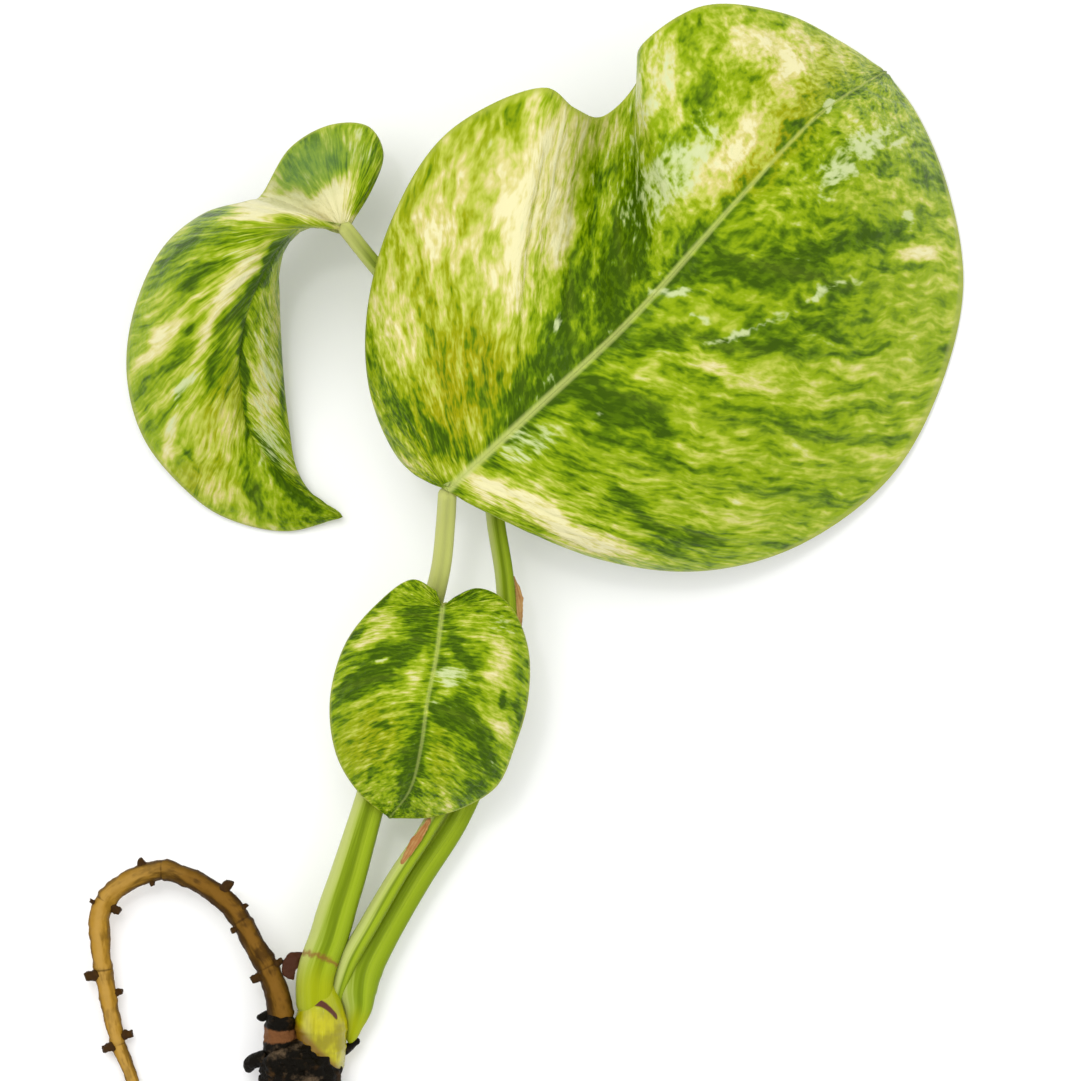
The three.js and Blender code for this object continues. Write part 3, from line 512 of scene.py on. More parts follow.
# The streak and fleck scales say how often they repeat across the veins and along them.
def marbledPaint(leaf, under=False):
    paint = Paint(leaf["node"] + ("_underside" if under else "_skin"), Specular_IOR_Level=0.07)
    streakAcross, streakAlong = leaf["streaks"]
    fleckAcross, fleckAlong = leaf["flecks"]
    place = paint.place()
    share = paint.own("fromRib")
    lane = paint.own("veinPlace") + (paint.grain(place, 90, 2) - 0.5) * 0.3
    broad = paint.grain(paint.vector(lane * 2.4, share * 2.2, 0.0), 1.0, 2, 0.5)
    streak = paint.grain(paint.vector(lane * streakAcross, share * streakAlong, 4.0), 1.0, 2, 0.5)
    fleck = paint.grain(paint.vector(lane * fleckAcross, share * fleckAlong, 8.0), 1.0, 2, 0.5)
    speck = paint.grain(place, 800, 1, 0.5)
    shares = marbling["mix"]
    mix = broad * shares[0] + streak * shares[1] + fleck * shares[2] + speck * shares[3]
    tone = (mix - 0.5) * marbling["gain"] + 0.5 + paint.own("tone") * marbling["patchGain"]
    olive = paint.own("olive")
    fills = [marbling["green"], paint.blend(olive, marbling["lime"], marbling["olive"]), marbling["pale"],
             paint.blend(olive, marbling["cream"], marbling["tan"]), marbling["white"]]
    colour = paint.blend(paint.step(fleck, 0.42, 0.62) * 0.5, marbling["dark"], marbling["green"])
    soft = marbling["softness"]
    for edge, fill in zip(marbling["edges"], fills):
        colour = paint.blend(paint.step(tone, edge - soft, edge + soft), colour, fill)
    # Painted sheen: pale mint streaks stand in for glossy highlights where the sheen patches lie.
    sheen = paint.step(paint.own("paintedSheen") * 0.46 + streak * 1.1 + fleck * 0.9, 1.24, 1.56)
    colour = paint.blend(sheen * 0.85, colour, marbling["paintedSheen"])
    # Painted shade: the shaded back lobe is tinted a darker blue-green; the same patches also make it more
    # matte.
    colour = paint.blend(paint.own("shadeAndMatte") * 0.65, colour, marbling["shadeAndMatte"])
    colour = paint.blend(paint.own("veinMask") * 0.06, colour, marbling["pale"])
    colour = paint.blend(paint.own("ribMask") * 0.9, colour, marbling["rib"])
    # Painted light: a pale band along the margin lifts the shade that falls at the blade's rim.
    colour = paint.blend(paint.step(share, 0.972, 1.0) * 0.7, colour, marbling["pale"])
    if under:
        colour = paint.blend(0.5, colour, marbling["under"])
    rough = marbling["roughUnder" if under else "roughTop"] + speck * 0.14 + paint.own("shadeAndMatte") * 0.25
    paint.wear(Base_Color=colour, Roughness=rough)
    ripple = paint.grain(paint.vector(lane * 5.0, share * 9.0, 2.0), 1.0, 3)
    paint.relief(ripple + streak * 0.5 + speck * 0.1, 0.55, 0.0009)
    return paint.material


# The node, where the stalks leave the stem, in the shared frame: every route below is laid out from
# it in mm. The stem's own box reaches this far to either side of it.
stemReach = {"low": (-5.43, -6.34, 3.03), "high": (3.98, 3.72, 11.08)}


def findNode():
    low, high = boxOf("stem")
    return ((low - stemReach["low"]) + (high - stemReach["high"])) / 2


node = findNode()


def placed(points, reach=100):
    return [np.array([x * reach / 100, y * reach / 100, z]) + node for x, y, z in points]


# Values spaced evenly, or given as (share of the length, value).
def spread(values, u):
    shares = np.linspace(0, 1, len(values))
    if isinstance(values[0], tuple):
        shares, values = zip(*values)
    return np.interp(u, shares, values)


def ringFrames(centres):
    tangent = np.gradient(centres, axis=0)
    tangent /= np.linalg.norm(tangent, axis=1)[:, None]
    across = np.stack([tangent[:, 1], -tangent[:, 0], np.zeros(len(tangent))], axis=1)
    across /= np.linalg.norm(across, axis=1)[:, None]
    return across, np.cross(across, tangent)


def addValues(made, **values):
    for name, numbers in values.items():
        layer = made.data.attributes.new(name, "FLOAT", "POINT")
        layer.data.foreach_set("value", np.asarray(numbers, np.float32))


def pointsOf(made):
    points = np.empty(len(made.data.vertices) * 3)
    made.data.vertices.foreach_get("co", points)
    return points.reshape(-1, 3) / mm - node


def claim(piece, slot, *nodes):
    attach(piece, "root")
    if nodes:
        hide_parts(*nodes)
    print("built", piece.name)


def lump(point, size, seed):
    return noise.noise(point * (1 / size) + Vector((seed, seed, seed)))


# A closed body along a route: shape(u, turn) gives its radius in mm, and each end rounds over.
def rodObject(name, route, shape, material, rings, sides=48, roundEnds=(1, 1), lumps=None):
    centres = Rail(route).evenly(rings)
    across, up = ringFrames(centres)
    length = np.linalg.norm(np.diff(centres, axis=0), axis=1).sum()
    runs = np.linspace(0, length, rings)
    turns = np.linspace(0, 2 * math.pi, sides, endpoint=False)
    u = runs / length
    radius = shape(u[:, None], turns[None, :])
    for near, amount in ((runs, roundEnds[0]), (length - runs, roundEnds[1])):
        reach = max(radius.mean() * amount, 1e-6)
        radius = radius * np.sqrt(np.clip(1 - (1 - np.clip(near / reach, 0, 1)) ** 2, 0.0009, 1))[:, None]
    c, s = np.cos(turns)[None, :, None], np.sin(turns)[None, :, None]
    ring = across[:, None] * c + up[:, None] * s
    points = (centres[:, None] + radius[:, :, None] * ring).reshape(-1, 3)
    if lumps:
        away = points - np.repeat(centres, sides, axis=0)
        away /= np.maximum(np.linalg.norm(away, axis=1), 1e-6)[:, None]
        points = points + away * np.array([lumps(Vector(p)) for p in points])[:, None]
    faces = []
    for r in range(rings - 1):
        for k in range(sides):
            a, b = r * sides + k, r * sides + (k + 1) % sides
            faces.append((a, a + sides, b + sides, b))
    last = (rings - 1) * sides
    faces.append(tuple(range(sides)))
    faces.append(tuple(last + k for k in reversed(range(sides))))
    made = meshObject(name, points * mm, faces, [material])
    addValues(made, run=np.repeat(runs, sides), share=np.repeat(u, sides),
              turnX=np.tile(np.cos(turns), rings), turnY=np.tile(np.sin(turns), rings))
    return made


# Leaf stalks: a shallow channel runs along the top, and each foot clasps the stem.
largeStalk = {
    "node": "stalk_large_leaf",
    "route": [(-1.9, 0.6, 7.0), (-2.1, 3.2, 7.9), (-1.9, 6.8, 8.8), (-1.0, 9.9, 9.5), (0.2, 13, 9.9),
              (1.8, 18.3, 10.8), (3.5, 23.5, 11.4), (6.1, 32.2, 12.4), (8.7, 40.9, 13.4),
              (12.2, 51.3, 14.8), (15.7, 62.6, 17), (18.3, 72.2, 20), (19.1, 79.2, 23),
              (19.5, 85.2, 27.2)],
    "widths": [5.8, 6.2, 6.3, 5.8, 5.2, 4.8, 4.4, 4.0, 3.6, 3.2, 3.1, 3.0],
    "grooveTurn": 68, "groove": 0.16, "rings": 260,
    "skin": {"name": "largeStalkSkin", "creamFrom": 0.55, "creamTo": 0.85, "footEnd": 12.0, "scarAt": 9.6},
}
curledStalk = {
    "node": "stalk_curled_leaf",
    "route": [(3.5, -4.0, 5.2), (4.2, -1.4, 5.8), (4.9, 1.7, 6.2), (4.9, 4.6, 6.4), (5.5, 8.2, 6.4),
              (8.1, 13.3, 6.4), (13.8, 22.8, 7), (20.2, 32.3, 7.8), (24.7, 41.8, 8.6),
              (27.9, 53.3, 9.8), (28.9, 62.1, 11.2), (28.5, 71, 12.8), (27.3, 78.6, 14.4),
              (25.9, 88.1, 16), (22.3, 98.3, 17.8), (17.8, 107.8, 19.6), (12.7, 115.4, 21.4),
              (7.6, 121.2, 23.2), (2.6, 127.4, 26)],
    "widths": [(0, 1.6), (0.02, 2.8), (0.04, 4.6), (0.06, 6.2), (0.085, 7.0), (0.13, 6.4), (0.2, 5.9),
               (0.27, 5.3), (0.36, 4.2), (0.45, 3.3), (0.55, 3.0), (0.75, 2.8), (1, 2.5)],
    "grooveTurn": 60, "groove": 0.18, "rings": 360,
    "skin": {"name": "curledStalkSkin", "creamFrom": 0.92, "creamTo": 1.0, "footEnd": 7.0},
}
smallStalk = {
    "node": "stalk_small_leaf",
    "route": [(1.3, 2.6, 6.0), (2.2, 6.0, 8.2), (3.6, 9.8, 9.9), (6.9, 15.6, 11.0), (11.4, 23.3, 11.8),
              (16.2, 30.7, 12.4), (20, 38.3, 12.7), (21.4, 49, 13.2), (22.1, 56.6, 15),
              (21.4, 62.1, 19), (18.7, 66.6, 23.4)],
    "widths": [2.2, 3.2, 3.1, 2.8, 2.7, 2.6, 2.4, 2.3, 2.2],
    "grooveTurn": 80, "groove": 0.1, "rings": 200,
    "skin": {"name": "smallStalkSkin", "creamFrom": 0.5, "creamTo": 0.9, "highlightShift": 0.35},
}
stalkColours = {"pale": (0.44, 0.48, 0.15), "light": (0.33, 0.4, 0.03), "mid": (0.2, 0.3, 0.0),
                "green": (0.1, 0.155, 0.0), "foot": (0.3, 0.33, 0.002), "cream": (0.45, 0.46, 0.15),
                "scar": (0.2, 0.06, 0.02)}


def stalkShape(stalk):
    centre = math.radians(stalk["grooveTurn"])

    def shape(u, turn):
        away = np.abs((turn - centre + math.pi) % (2 * math.pi) - math.pi)
        channel = -stalk["groove"] * np.exp(-(away / 0.34) ** 2)
        lips = 0.3 * stalk["groove"] * np.exp(-((away - 0.66) / 0.22) ** 2)
        return spread(stalk["widths"], u) / 2 * (1 + (channel + lips) * np.clip(u * 12, 0, 1))
    return shape


# A stalk gets a painted highlight on its left flank, a line of painted shade beside it and painted shade
# along its right edge, and it turns cream near its leaf.
# The foot's colour ends at footEnd mm, and the ring left by an old sheath is at scarAt mm; a negative
# place leaves the ring out.
def stalkPaint(name, creamFrom, creamTo, highlightShift=0.0, footEnd=0.0, scarAt=-9.0):
    paint = Paint(name, Specular_IOR_Level=0.08)
    turnX, turnY, run = paint.own("turnX"), paint.own("turnY"), paint.own("run")
    fibre = paint.grain(paint.vector(turnX * 9, turnY * 9, run * 0.08), 1.0, 3, 0.6)
    band = paint.grain(paint.vector(turnX * 2.2, turnY * 2.2, run * 0.035), 1.0, 2, 0.5)
    fleck = paint.grain(paint.place(), 900, 2)
    flank = turnX + (band - 0.5) * 0.9 + (fibre - 0.5) * 0.5
    # Painted highlight on the left flank and painted shade in the line beside it.
    stalkHighlight = 1 - paint.step(flank, -0.8 + highlightShift, -0.15 + highlightShift)
    shadeLine = paint.step(flank, -0.5 + highlightShift, 0.0) * (1 - paint.step(flank, 0.0, 0.55))
    # Painted shade along the right edge.
    edge = paint.step(turnX + (fibre - 0.5) * 0.3, 0.5, 1.0)
    colour = paint.blend(fibre * 0.8, stalkColours["mid"], stalkColours["light"])
    colour = paint.blend(shadeLine * 0.85, colour, stalkColours["green"])
    colour = paint.blend(edge * 0.7, colour, stalkColours["green"])
    colour = paint.blend(stalkHighlight * 0.85, colour, stalkColours["pale"])
    foot = 1 - paint.step(run + (band - 0.5) * 6, footEnd * 0.4, footEnd + 0.001)
    colour = paint.blend(foot * 0.8, colour, stalkColours["foot"])
    ring = run - turnY * 0.8 + (fleck - 0.5) * 1.6
    scar = paint.step(ring, scarAt - 0.5, scarAt) * (1 - paint.step(ring, scarAt, scarAt + 0.7))
    colour = paint.blend(scar * 0.7, colour, stalkColours["scar"])
    cream = paint.step(paint.own("share"), creamFrom, creamTo)
    colour = paint.blend(cream * 0.75, colour, stalkColours["cream"])
    paint.wear(Base_Color=colour, Roughness=fleck * 0.16 + 0.24)
    paint.relief(fibre + fleck * 0.25 + scar * 0.6, 0.3, 0.0005)
    return paint.material


def buildStalk(stalk):
    paint = stalkPaint(**stalk["skin"])
    made = rodObject(stalk["node"] + "_fine", placed(stalk["route"]), stalkShape(stalk), paint,
                     rings=stalk["rings"], roundEnds=(1, 0.5))
    claim(made, "leaf_stalk", stalk["node"])


# Living stem: short, swollen and glossy, with a brown crack across the top and an amber lower side.
stem = {
    "route": [(-1.7, 7.5, 7.6), (-1.1, 3.5, 7.1), (-1.0, 0, 6.9), (-1.1, -5, 5.8), (-1.2, -10, 4.2)],
    "widths": [(0, 5.0), (0.18, 6.2), (0.31, 7.5), (0.43, 8.2), (0.6, 8.3), (1, 7.8)],
    "rings": [0.5, 0.66, 0.86], "lump": 0.3,
    "crack": {"middle": (-0.6, 2.9), "drop": 0.17, "width": 0.75, "reach": 2.6},
    # The dead end starts along a slanting line, and the skin browns towards it over "fade" mm.
    "browning": {"at": (-5.5, -1.6), "slant": 1.06, "start": 0.6, "fade": 2.6},
}
stemColours = {"yellow": (0.41, 0.38, 0.001), "olive": (0.24, 0.21, 0.0), "amber": (0.3, 0.15, 0.008),
               "pale": (0.5, 0.47, 0.14), "brown": (0.16, 0.075, 0.006), "crack": (0.07, 0.014, 0.003)}


def stemPaint():
    paint = Paint("glossyStem", Specular_IOR_Level=0.4)
    run, turnX, turnY = paint.own("run"), paint.own("turnX"), paint.own("turnY")
    place = paint.place()
    cloud = paint.grain(place, 220, 3, 0.55)
    fibre = paint.grain(paint.vector(turnX * 7, turnY * 7, run * 0.2), 1.0, 3)
    bright = paint.step(cloud + fibre * 0.4, 0.52, 0.82)
    colour = paint.blend(bright, stemColours["olive"], stemColours["yellow"])
    # Painted highlight: a pale streak along one side of the stem.
    streak = paint.step(turnX + (fibre - 0.5) * 0.8, 0.3, 0.5) * (1 - paint.step(turnX, 0.62, 0.85))
    colour = paint.blend(streak * 0.25, colour, stemColours["pale"])
    amber = paint.step(run * 0.55 + turnX * 3 + (cloud - 0.5) * 3, 6.6, 8.6)
    colour = paint.blend(amber * 0.9, colour, stemColours["amber"])
    brown = paint.step(paint.own("browning") + (cloud - 0.5) * 0.8 + (fibre - 0.5) * 0.4, 0.25, 0.9)
    colour = paint.blend(brown * 0.85, colour, stemColours["brown"])
    young = 1 - paint.step(run + (cloud - 0.5) * 3, 4.5, 7.5)
    colour = paint.blend(young * 0.9, colour, stalkColours["foot"])
    crack = paint.step(paint.own("crack") + (cloud - 0.5) * 1.0, 0.4, 0.75)
    colour = paint.blend(crack, colour, stemColours["crack"])
    paint.wear(Base_Color=colour, Roughness=fibre * 0.2 + 0.14)
    paint.relief(fibre * 0.6 + cloud - crack * 0.8, 0.35, 0.0005)
    return paint.material


def buildStem():
    def shape(u, turn):
        scars = sum(0.03 * np.exp(-((u - at) / 0.02) ** 2) for at in stem["rings"])
        return spread(stem["widths"], u) / 2 * (1 + scars + 0 * turn)

    made = rodObject("stem_fine", placed(stem["route"]), shape, stemPaint(), sides=80, rings=170,
                     lumps=lambda p: stem["lump"] * lump(p, 3.2, 3))
    points = pointsOf(made)
    crack = stem["crack"]
    along = points[:, 0] - crack["middle"][0]
    arc = crack["middle"][1] - crack["drop"] * (along + 1.6) ** 2
    across = np.exp(-((points[:, 1] - arc) / crack["width"]) ** 2) * (points[:, 2] > 7.5)
    addValues(made, crack=across * np.clip((crack["reach"] - np.abs(along)) * 2, 0, 1))
    brown = stem["browning"]
    fromDead = points[:, 1] - brown["at"][1] + brown["slant"] * (points[:, 0] - brown["at"][0])
    addValues(made, browning=np.clip(1 - (fromDead - brown["start"]) / brown["fade"], 0, 1))
    claim(made, "stem_skin", "stem")


# Dead end of the stem: black, lumpy and shrunken, with a knob that the aerial root grows from.
oldEnd = {
    "route": [(-5.6, -3.0, 6.9), (-5.2, -5.6, 7.1), (-4.4, -9, 6.9), (-5.4, -13, 6.0),
              (-7.2, -16.2, 4.8)],
    "widths": [6.5, 10.2, 12.2, 12.4, 12.0, 10.6, 8], "flatness": 0.2,
    "lumps": [(3.4, 1.0, 11), (1.3, 0.6, 5), (0.6, 0.3, 8)],
}
knob = {"route": [(-6.9, 1.4, 7.6), (-7.5, -0.6, 7.3), (-7.6, -2.8, 6.9), (-7.2, -5.4, 6.4)],
        "widths": [4.0, 4.7, 4.6, 5.3, 6.2, 6.6], "brown": (0.44, 0.66), "lumpShare": 0.45}
deadColours = {"black": (0.0035, 0.0025, 0.001), "brown": (0.045, 0.022, 0.006),
               "bark": (0.12, 0.08, 0.045), "band": (0.15, 0.06, 0.02)}


def deadPaint(name, banded=False):
    paint = Paint(name, Specular_IOR_Level=0.08)
    place = paint.place()
    coarse = paint.grain(place, 230, 4, 0.6)
    fine = paint.grain(place, 900, 4, 0.65)
    worn = paint.step(coarse + fine * 0.35, 0.7, 0.9)
    colour = paint.blend(worn, deadColours["black"], deadColours["brown"])
    patch = paint.step(paint.grain(place, 120, 2) + fine * 0.25, 0.68, 0.8)
    colour = paint.blend(patch * 0.8, colour, deadColours["bark"])
    if banded:
        share = paint.own("share") + (fine - 0.5) * 0.12
        start, end = knob["brown"]
        ring = paint.step(share, start - 0.05, start) * (1 - paint.step(share, end, end + 0.05))
        colour = paint.blend(ring, colour, deadColours["band"])
    paint.wear(Base_Color=colour, Roughness=coarse * 0.5 + 0.3)
    paint.relief(coarse + fine * 0.5, 0.9, 0.0012)
    return paint.material


def buildOldEnd():
    def lumps(point):
        return sum(height * lump(point, size, seed) for size, height, seed in oldEnd["lumps"])

    def flat(widths, amount):
        return lambda u, turn: spread(widths, u) / 2 * (1 - amount * np.sin(turn) ** 2)

    dead = deadPaint("blackenedStem")
    body = rodObject("old_end_fine", placed(oldEnd["route"]), flat(oldEnd["widths"], oldEnd["flatness"]),
                     dead, sides=110, rings=170, roundEnds=(0.5, 0.5), lumps=lumps)
    claim(body, "dead_stem", "old_stem_end")
    banded = deadPaint("rootCollar", banded=True)
    collar = rodObject("root_knob", placed(knob["route"]), flat(knob["widths"], 0), banded, sides=56,
                       rings=90, roundEnds=(0.5, 0.5), lumps=lambda p: lumps(p) * knob["lumpShare"])
    claim(collar, "dead_stem")


# What follows a path or repeats is grown by node trees with named inputs.
def startTree(name, inputs):
    tree = bpy.data.node_groups.new(name, "GeometryNodeTree")
    tree.interface.new_socket("path", in_out="INPUT", socket_type="NodeSocketGeometry")
    for label, kind in inputs.items():
        tree.interface.new_socket(label, in_out="INPUT", socket_type="NodeSocket" + kind)
    tree.interface.new_socket("body", in_out="OUTPUT", socket_type="NodeSocketGeometry")
    entry = tree.nodes.new("NodeGroupInput")
    graph = Graph(tree)
    return graph, {label: Wire(graph, entry.outputs[label]) for label in ["path", *inputs]}


def endTree(graph, body, material):
    body = graph.node("GeometryNodeSetShadeSmooth", values={"Geometry": body})
    body = graph.node("GeometryNodeRealizeInstances", values={"Geometry": body})
    body = graph.node("GeometryNodeSetMaterial", values={"Geometry": body, "Material": material})
    leave = graph.tree.nodes.new("NodeGroupOutput")
    graph.tree.links.new(body.socket, leave.inputs[0])
    return graph.tree


def named(graph, name, kind="FLOAT"):
    return graph.node("GeometryNodeInputNamedAttribute", {"data_type": kind}, {"Name": name})


def storing(graph, geometry, name, value):
    return graph.node("GeometryNodeStoreNamedAttribute", {"data_type": "FLOAT", "domain": "POINT"},
                      {"Geometry": geometry, "Name": name, "Value": value})


def lumpy(graph, body, height, size, seed):
    place = graph.node("GeometryNodeInputPosition")
    normal = graph.node("GeometryNodeInputNormal")
    vector = graph.node("ShaderNodeVectorMath", {"operation": "ADD"}, {0: place, 1: seed})
    offset = (graph.grain(vector, size, 2) - 0.5) * height
    move = graph.node("ShaderNodeVectorMath", {"operation": "SCALE"}, {0: normal, "Scale": offset})
    return graph.node("GeometryNodeSetPosition", values={"Geometry": body, "Offset": move})


# Sweeps a ring along the path: its points carry "half", the half width there in metres.
def sweepTree():
    inputs = {"sides": "Int", "flatness": "Float", "lumpHeight": "Float", "lumpsPerMetre": "Float",
              "seed": "Float", "material": "Material"}
    graph, have = startTree("sweepAlongPath", inputs)
    curve = graph.node("GeometryNodeMeshToCurve", values={"Mesh": have["path"]})
    curve = graph.node("GeometryNodeSetCurveNormal", {"mode": "Z_UP"}, {"Curve": curve})
    curve = storing(graph, curve, "share", graph.node("GeometryNodeSplineParameter"))
    ring = graph.node("GeometryNodeCurvePrimitiveCircle",
                      values={"Resolution": have["sides"], "Radius": 1.0})
    place = graph.node("GeometryNodeInputPosition")
    parts = [graph.node("ShaderNodeSeparateXYZ", values={0: place}, output=k) for k in (0, 1)]
    ring = storing(graph, storing(graph, ring, "turnX", parts[0]), "turnY", parts[1])
    scale = graph.node("ShaderNodeCombineXYZ", values={0: 1.0, 1: have["flatness"], 2: 1.0})
    ring = graph.node("GeometryNodeTransform", values={"Geometry": ring, "Scale": scale})
    values = {"Curve": curve, "Profile Curve": ring, "Scale": named(graph, "half"), "Fill Caps": True}
    body = graph.node("GeometryNodeCurveToMesh", values=values)
    body = lumpy(graph, body, have["lumpHeight"], have["lumpsPerMetre"], have["seed"])
    return endTree(graph, body, have["material"])


# Sets a small bent cone on each point, pointing along its "out" direction.
def stubTree():
    inputs = {"length": "Float", "width": "Float", "seed": "Int", "material": "Material"}
    graph, have = startTree("rootletStubs", inputs)
    points = graph.node("GeometryNodeMeshToPoints", values={"Mesh": have["path"]})
    cone = graph.node("GeometryNodeMeshCone", values={
        "Vertices": 14, "Side Segments": 8, "Depth": have["length"],
        "Radius Top": have["width"] * 0.3, "Radius Bottom": have["width"] * 0.5})
    turn = graph.node("FunctionNodeAlignRotationToVector", {"axis": "Z"},
                      {"Vector": named(graph, "out", "FLOAT_VECTOR")})
    size = graph.node("FunctionNodeRandomValue", {"data_type": "FLOAT"},
                      {2: 0.65, 3: 1.25, "Seed": have["seed"]}, output=1)
    body = graph.node("GeometryNodeInstanceOnPoints", values={
        "Points": points, "Instance": cone, "Rotation": turn, "Scale": size})
    body = graph.node("GeometryNodeRealizeInstances", values={"Geometry": body})
    body = lumpy(graph, body, have["width"] * 0.7, 1100.0, (0.0, 0.0, 0.0))
    return endTree(graph, body, have["material"])


def grown(name, tree, source, **inputs):
    modifier = source.modifiers.new("grow", "NODES")
    modifier.node_group = tree
    for item in tree.interface.items_tree:
        if item.in_out == "INPUT" and item.name in inputs:
            modifier[item.identifier] = inputs[item.name]
    depsgraph = bpy.context.evaluated_depsgraph_get()
    mesh = bpy.data.meshes.new_from_object(source.evaluated_get(depsgraph), depsgraph=depsgraph)
    source.modifiers.remove(modifier)
    bpy.data.objects.remove(source)
    made = bpy.data.objects.new(name, mesh)
    bpy.context.scene.collection.objects.link(made)
    return made


def pathObject(route, widths, rings):
    centres = Rail(route).evenly(rings)
    u = np.linspace(0, 1, rings)
    length = np.linalg.norm(np.diff(centres, axis=0), axis=1).sum()
    half = spread(widths, u) / 2
    for near in (u * length, (1 - u) * length):
        reach = half.mean()
        half = half * np.sqrt(np.clip(1 - (1 - np.clip(near / reach, 0, 1)) ** 2, 0.01, 1))
    mesh = bpy.data.meshes.new("path")
    mesh.from_pydata([tuple(p) for p in centres * mm], [(k, k + 1) for k in range(rings - 1)], [])
    path = bpy.data.objects.new("path", mesh)
    bpy.context.scene.collection.objects.link(path)
    addValues(path, half=half * mm)
    return path, centres, half


# Aerial root: it loops out of the knob and back past it, with dark joints and rootlet stubs.
root = {
    "reach": 37,
    "route": [(-19.3, -1, 7.4), (-22, 12, 8.2), (-26, 22.5, 8.4), (-31.5, 32, 8.2), (-38, 44, 7.8),
              (-45, 52, 7.4), (-54.5, 58.5, 7), (-64, 63, 6.7), (-72, 65, 6.4), (-80, 63, 6.1),
              (-89, 58.5, 5.8), (-96, 52, 5.5), (-99, 45, 5.2), (-99, 35, 4.8), (-98, 24, 4.3),
              (-96, 12, 3.8), (-94, 1, 3.2), (-91.5, -10, 2.7), (-87, -22, 2.1), (-80, -40, 1.6),
              (-72, -53, 1)],
    "widths": [4.4, 3.9, 3.5, 3.5, 3.3, 3.2, 3.3, 3.4, 3.0, 2.7, 2.3, 1.9, 1.3], "rings": 520, "sides": 44,
    # Joints and rootlet stubs are places along the root; a stub also has its turn around it in degrees.
    "joints": [0.1, 0.2, 0.385, 0.511, 0.645, 0.791, 0.9], "jointLine": 0.004,
    "stubs": [(0.098, 170), (0.107, 20), (0.201, 155), (0.226, 25), (0.272, 25), (0.418, 172), (0.426, 10),
              (0.522, 170), (0.529, 12), (0.66, 12), (0.699, 170), (0.785, 172), (0.797, 15), (0.88, 15),
              (0.94, 170)],
    "stubLength": 1.6, "stubWidth": 1.7, "lumpHeight": 0.75, "lumpsPerMetre": 420.0,
}
rootColours = {"old": (0.095, 0.045, 0.003), "young": (0.33, 0.175, 0.016), "light": (0.43, 0.26, 0.065),
               "warm": (0.21, 0.1, 0.014), "dark": (0.03, 0.013, 0.002), "stub": (0.02, 0.007, 0.002)}


def rootPaint():
    paint = Paint("rootBark", Specular_IOR_Level=0.06)
    share, turnX, turnY = paint.own("share"), paint.own("turnX"), paint.own("turnY")
    place = paint.place()
    wrinkle = paint.grain(paint.vector(turnX * 2.5, turnY * 2.5, share * 30), 1.0, 3, 0.5)
    patch = paint.grain(place, 190, 3, 0.6)
    fine = paint.grain(place, 1300, 3)
    age = paint.step(share + (patch - 0.5) * 0.3, 0.3, 0.55)
    colour = paint.blend(age, rootColours["old"], rootColours["young"])
    side = 0 - turnX
    # Painted highlight along one side of the root and painted shade along the other.
    rootHighlight = 1 - paint.step(side + (wrinkle - 0.5) * 1.4, -0.1, 0.7)
    rootHighlight = rootHighlight * paint.step(side + (patch - 0.5), -0.95, -0.3)
    colour = paint.blend(rootHighlight * 0.6, colour, paint.blend(age, rootColours["warm"], rootColours["light"]))
    innerShade = paint.step(side + (wrinkle - 0.5) * 1.6, 0.2, 0.9)
    colour = paint.blend(innerShade * (0.75 - age * 0.5), colour, rootColours["dark"])
    # Painted shade along both edges of the root as seen from above.
    flank = paint.step(turnX * turnX + (patch - 0.5) * 1.1, 0.42, 0.95)
    colour = paint.blend(flank * (0.85 - age * 0.3), colour, rootColours["dark"])
    spots = paint.step(patch + wrinkle * 0.4, 0.68, 0.84)
    colour = paint.blend(spots * (0.7 - age * 0.35), colour, rootColours["dark"])
    joint = paint.step(paint.own("joint") + (patch - 0.5) * 2.4, 0.75, 1.15)
    colour = paint.blend(joint * 0.6, colour, rootColours["dark"])
    paint.wear(Base_Color=colour, Roughness=fine * 0.3 + 0.35)
    paint.relief(wrinkle + fine * 0.35 - joint * 0.5, 0.35, 0.0005)
    return paint.material


def stubPaint():
    paint = Paint("rootletBark", Specular_IOR_Level=0.1)
    fine = paint.grain(paint.place(), 1500, 3)
    colour = paint.blend(fine * 0.5, rootColours["stub"], rootColours["old"])
    paint.wear(Base_Color=colour, Roughness=fine * 0.4 + 0.4)
    return paint.material


def buildRoot(sweep, stubs):
    path, centres, half = pathObject(placed(root["route"], root["reach"]), root["widths"], root["rings"])
    u = np.linspace(0, 1, root["rings"])
    swell = sum(np.exp(-((u - at) / 0.006) ** 2) for at in root["joints"])
    crease = sum(np.exp(-((u - at - 0.008) / root["jointLine"]) ** 2) for at in root["joints"])
    path.data.attributes["half"].data.foreach_set(
        "value", (half * (1 + 0.07 * swell - 0.05 * crease) * mm).astype(np.float32))
    addValues(path, joint=np.clip(crease, 0, 1))
    made = grown("aerial_root_fine", sweep, path, sides=root["sides"], flatness=1.0,
                 lumpHeight=root["lumpHeight"] * mm, lumpsPerMetre=root["lumpsPerMetre"], seed=3.0,
                 material=rootPaint())
    claim(made, "root_bark", "aerial_root")

    across, up = ringFrames(centres)
    places, outs = [], []
    for at, turn in root["stubs"]:
        k = round(at * (root["rings"] - 1))
        out = across[k] * math.cos(math.radians(turn)) + up[k] * math.sin(math.radians(turn))
        places.append(centres[k] + out * half[k] * 0.75)
        outs.append(out)
    mesh = bpy.data.meshes.new("stubPlaces")
    mesh.from_pydata([tuple(p * mm) for p in places], [], [])
    source = bpy.data.objects.new("stubPlaces", mesh)
    bpy.context.scene.collection.objects.link(source)
    layer = mesh.attributes.new("out", "FLOAT_VECTOR", "POINT")
    layer.data.foreach_set("vector", np.array(outs, np.float32).ravel())
    made = grown("rootlet_stubs", stubs, source, length=root["stubLength"] * mm,
                 width=root["stubWidth"] * mm, seed=7, material=stubPaint())
    claim(made, "root_bark")


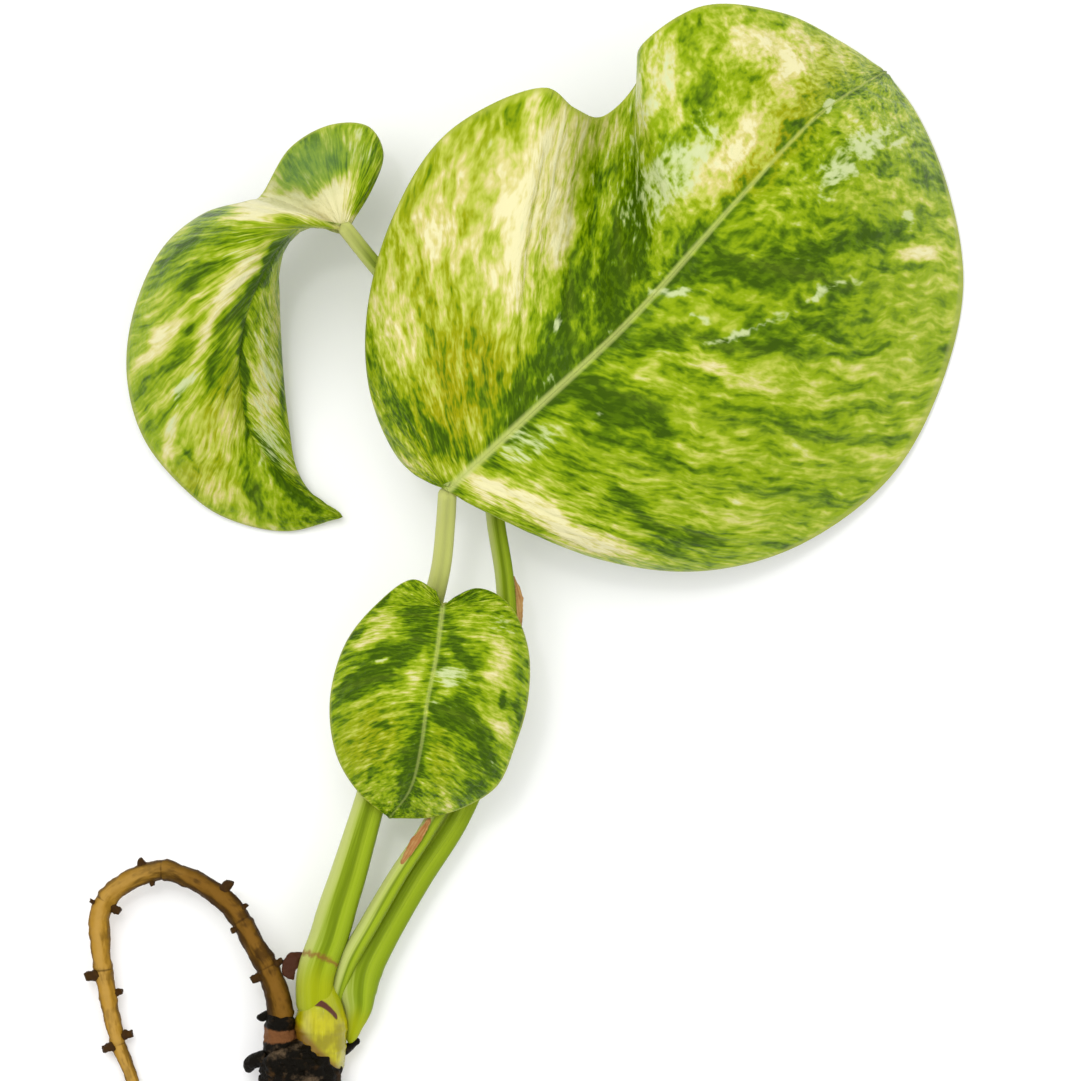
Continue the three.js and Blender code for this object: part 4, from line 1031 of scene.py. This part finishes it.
# Short thin root and the black stubs on the old end; "stands" names the plain solid a piece stands for.
thinRoots = {
    "thin_root_fine": {
        "route": [(2.0, -5.6, 5.0), (3.1, -4.9, 5.0), (4.2, -4.0, 4.8), (5.2, -3.3, 4.6)],
        "widths": [1.2, 1.5, 1.2, 1.1], "seed": 0.0, "stands": ["thin_root"]},
    "black_stub_a": {
        "route": [(-8.2, 0.9, 7.4), (-9.6, 0.6, 7.3), (-10.6, 0.3, 7.1), (-11.2, 0.4, 6.8)],
        "widths": [2.0, 1.5, 1.2], "seed": 1.0, "stands": []},
    "black_stub_b": {
        "route": [(-9.0, -6.4, 6.8), (-11.0, -6.5, 6.4), (-12.4, -7.2, 5.8), (-12.6, -8.6, 5.0)],
        "widths": [3.4, 2.8, 2.2, 1.6], "seed": 2.0, "stands": []},
}
thinRootLumps = {"flatness": 1.0, "lumpHeight": 0.6 * mm, "lumpsPerMetre": 700.0}


def buildThinRoots(sweep):
    dead = deadPaint("blackRootlet")
    for name, thin in thinRoots.items():
        path = pathObject(placed(thin["route"]), thin["widths"], 40)[0]
        made = grown(name, sweep, path, sides=22, seed=thin["seed"], material=dead, **thinRootLumps)
        claim(made, "dead_stem", *thin["stands"])


# Dried margins of the leaf sheaths: thin brown strips with a ragged, rolled edge.
sheaths = {
    "sheath_edge": {
        "route": [(12.0, 25.2, 13.2), (13.5, 27.6, 13.8), (15.1, 30.0, 14.1), (16.6, 32.4, 14.0)],
        "widths": [0.5, 1.2, 1.5, 1.3, 0.5], "tint": 0.75},
    "sheath_tip": {
        "route": [(30.9, 62.0, 11.6), (30.9, 65.2, 11.9), (30.5, 68.4, 12.2), (29.8, 71.4, 12.5)],
        "widths": [0.3, 1.0, 1.3, 1.7, 1.3, 0.3], "tint": 0.85},
    "sheath_flap": {
        "route": [(-3.4, 10.4, 9.2), (-5.0, 9.9, 9.3), (-6.1, 8.2, 9.4), (-5.4, 6.4, 9.2)],
        "widths": [0.9, 2.0, 2.6, 2.4, 0.7], "tint": 0.0},
}
sheathShape = {"sides": 28, "flatness": 0.16, "lumpHeight": 0.9 * mm, "lumpsPerMetre": 600.0, "seed": 5.0}
sheathColours = {"dark": (0.05, 0.014, 0.004), "brown": (0.3, 0.12, 0.03), "straw": (0.48, 0.3, 0.11)}


def sheathPaint(name, tint):
    paint = Paint(name, Specular_IOR_Level=0.2)
    share, turnX = paint.own("share"), paint.own("turnX")
    fine = paint.grain(paint.place(), 1000, 3)
    streak = paint.grain(paint.vector(turnX * 3, share * 2, 0.0), 1.0, 3)
    mix = streak * 0.7 + fine * 0.3 + tint - 0.5
    colour = paint.blend(paint.step(mix, 0.1, 0.5), sheathColours["dark"], sheathColours["brown"])
    colour = paint.blend(paint.step(mix, 0.65, 1.0), colour, sheathColours["straw"])
    paint.wear(Base_Color=colour, Roughness=fine * 0.3 + 0.4)
    paint.relief(streak + fine * 0.4, 0.5, 0.0005)
    return paint.material


def buildSheaths(sweep):
    for name, sheath in sheaths.items():
        path = pathObject(placed(sheath["route"]), sheath["widths"], 60)[0]
        paint = sheathPaint(name + "_skin", sheath["tint"])
        made = grown(name + "_fine", sweep, path, material=paint, **sheathShape)
        claim(made, "dry_sheath", name)


makeCamera()
makeLights()
makeFloor()
print("stage set")

for leaf in (largeLeaf, curledLeaf, smallLeaf):
    buildBlade(leaf, [marbledPaint(leaf), marbledPaint(leaf, under=True)])

for stalk in (largeStalk, curledStalk, smallStalk):
    buildStalk(stalk)
buildStem()
buildOldEnd()
sweep, stubs = sweepTree(), stubTree()
buildRoot(sweep, stubs)
buildThinRoots(sweep)
buildSheaths(sweep)
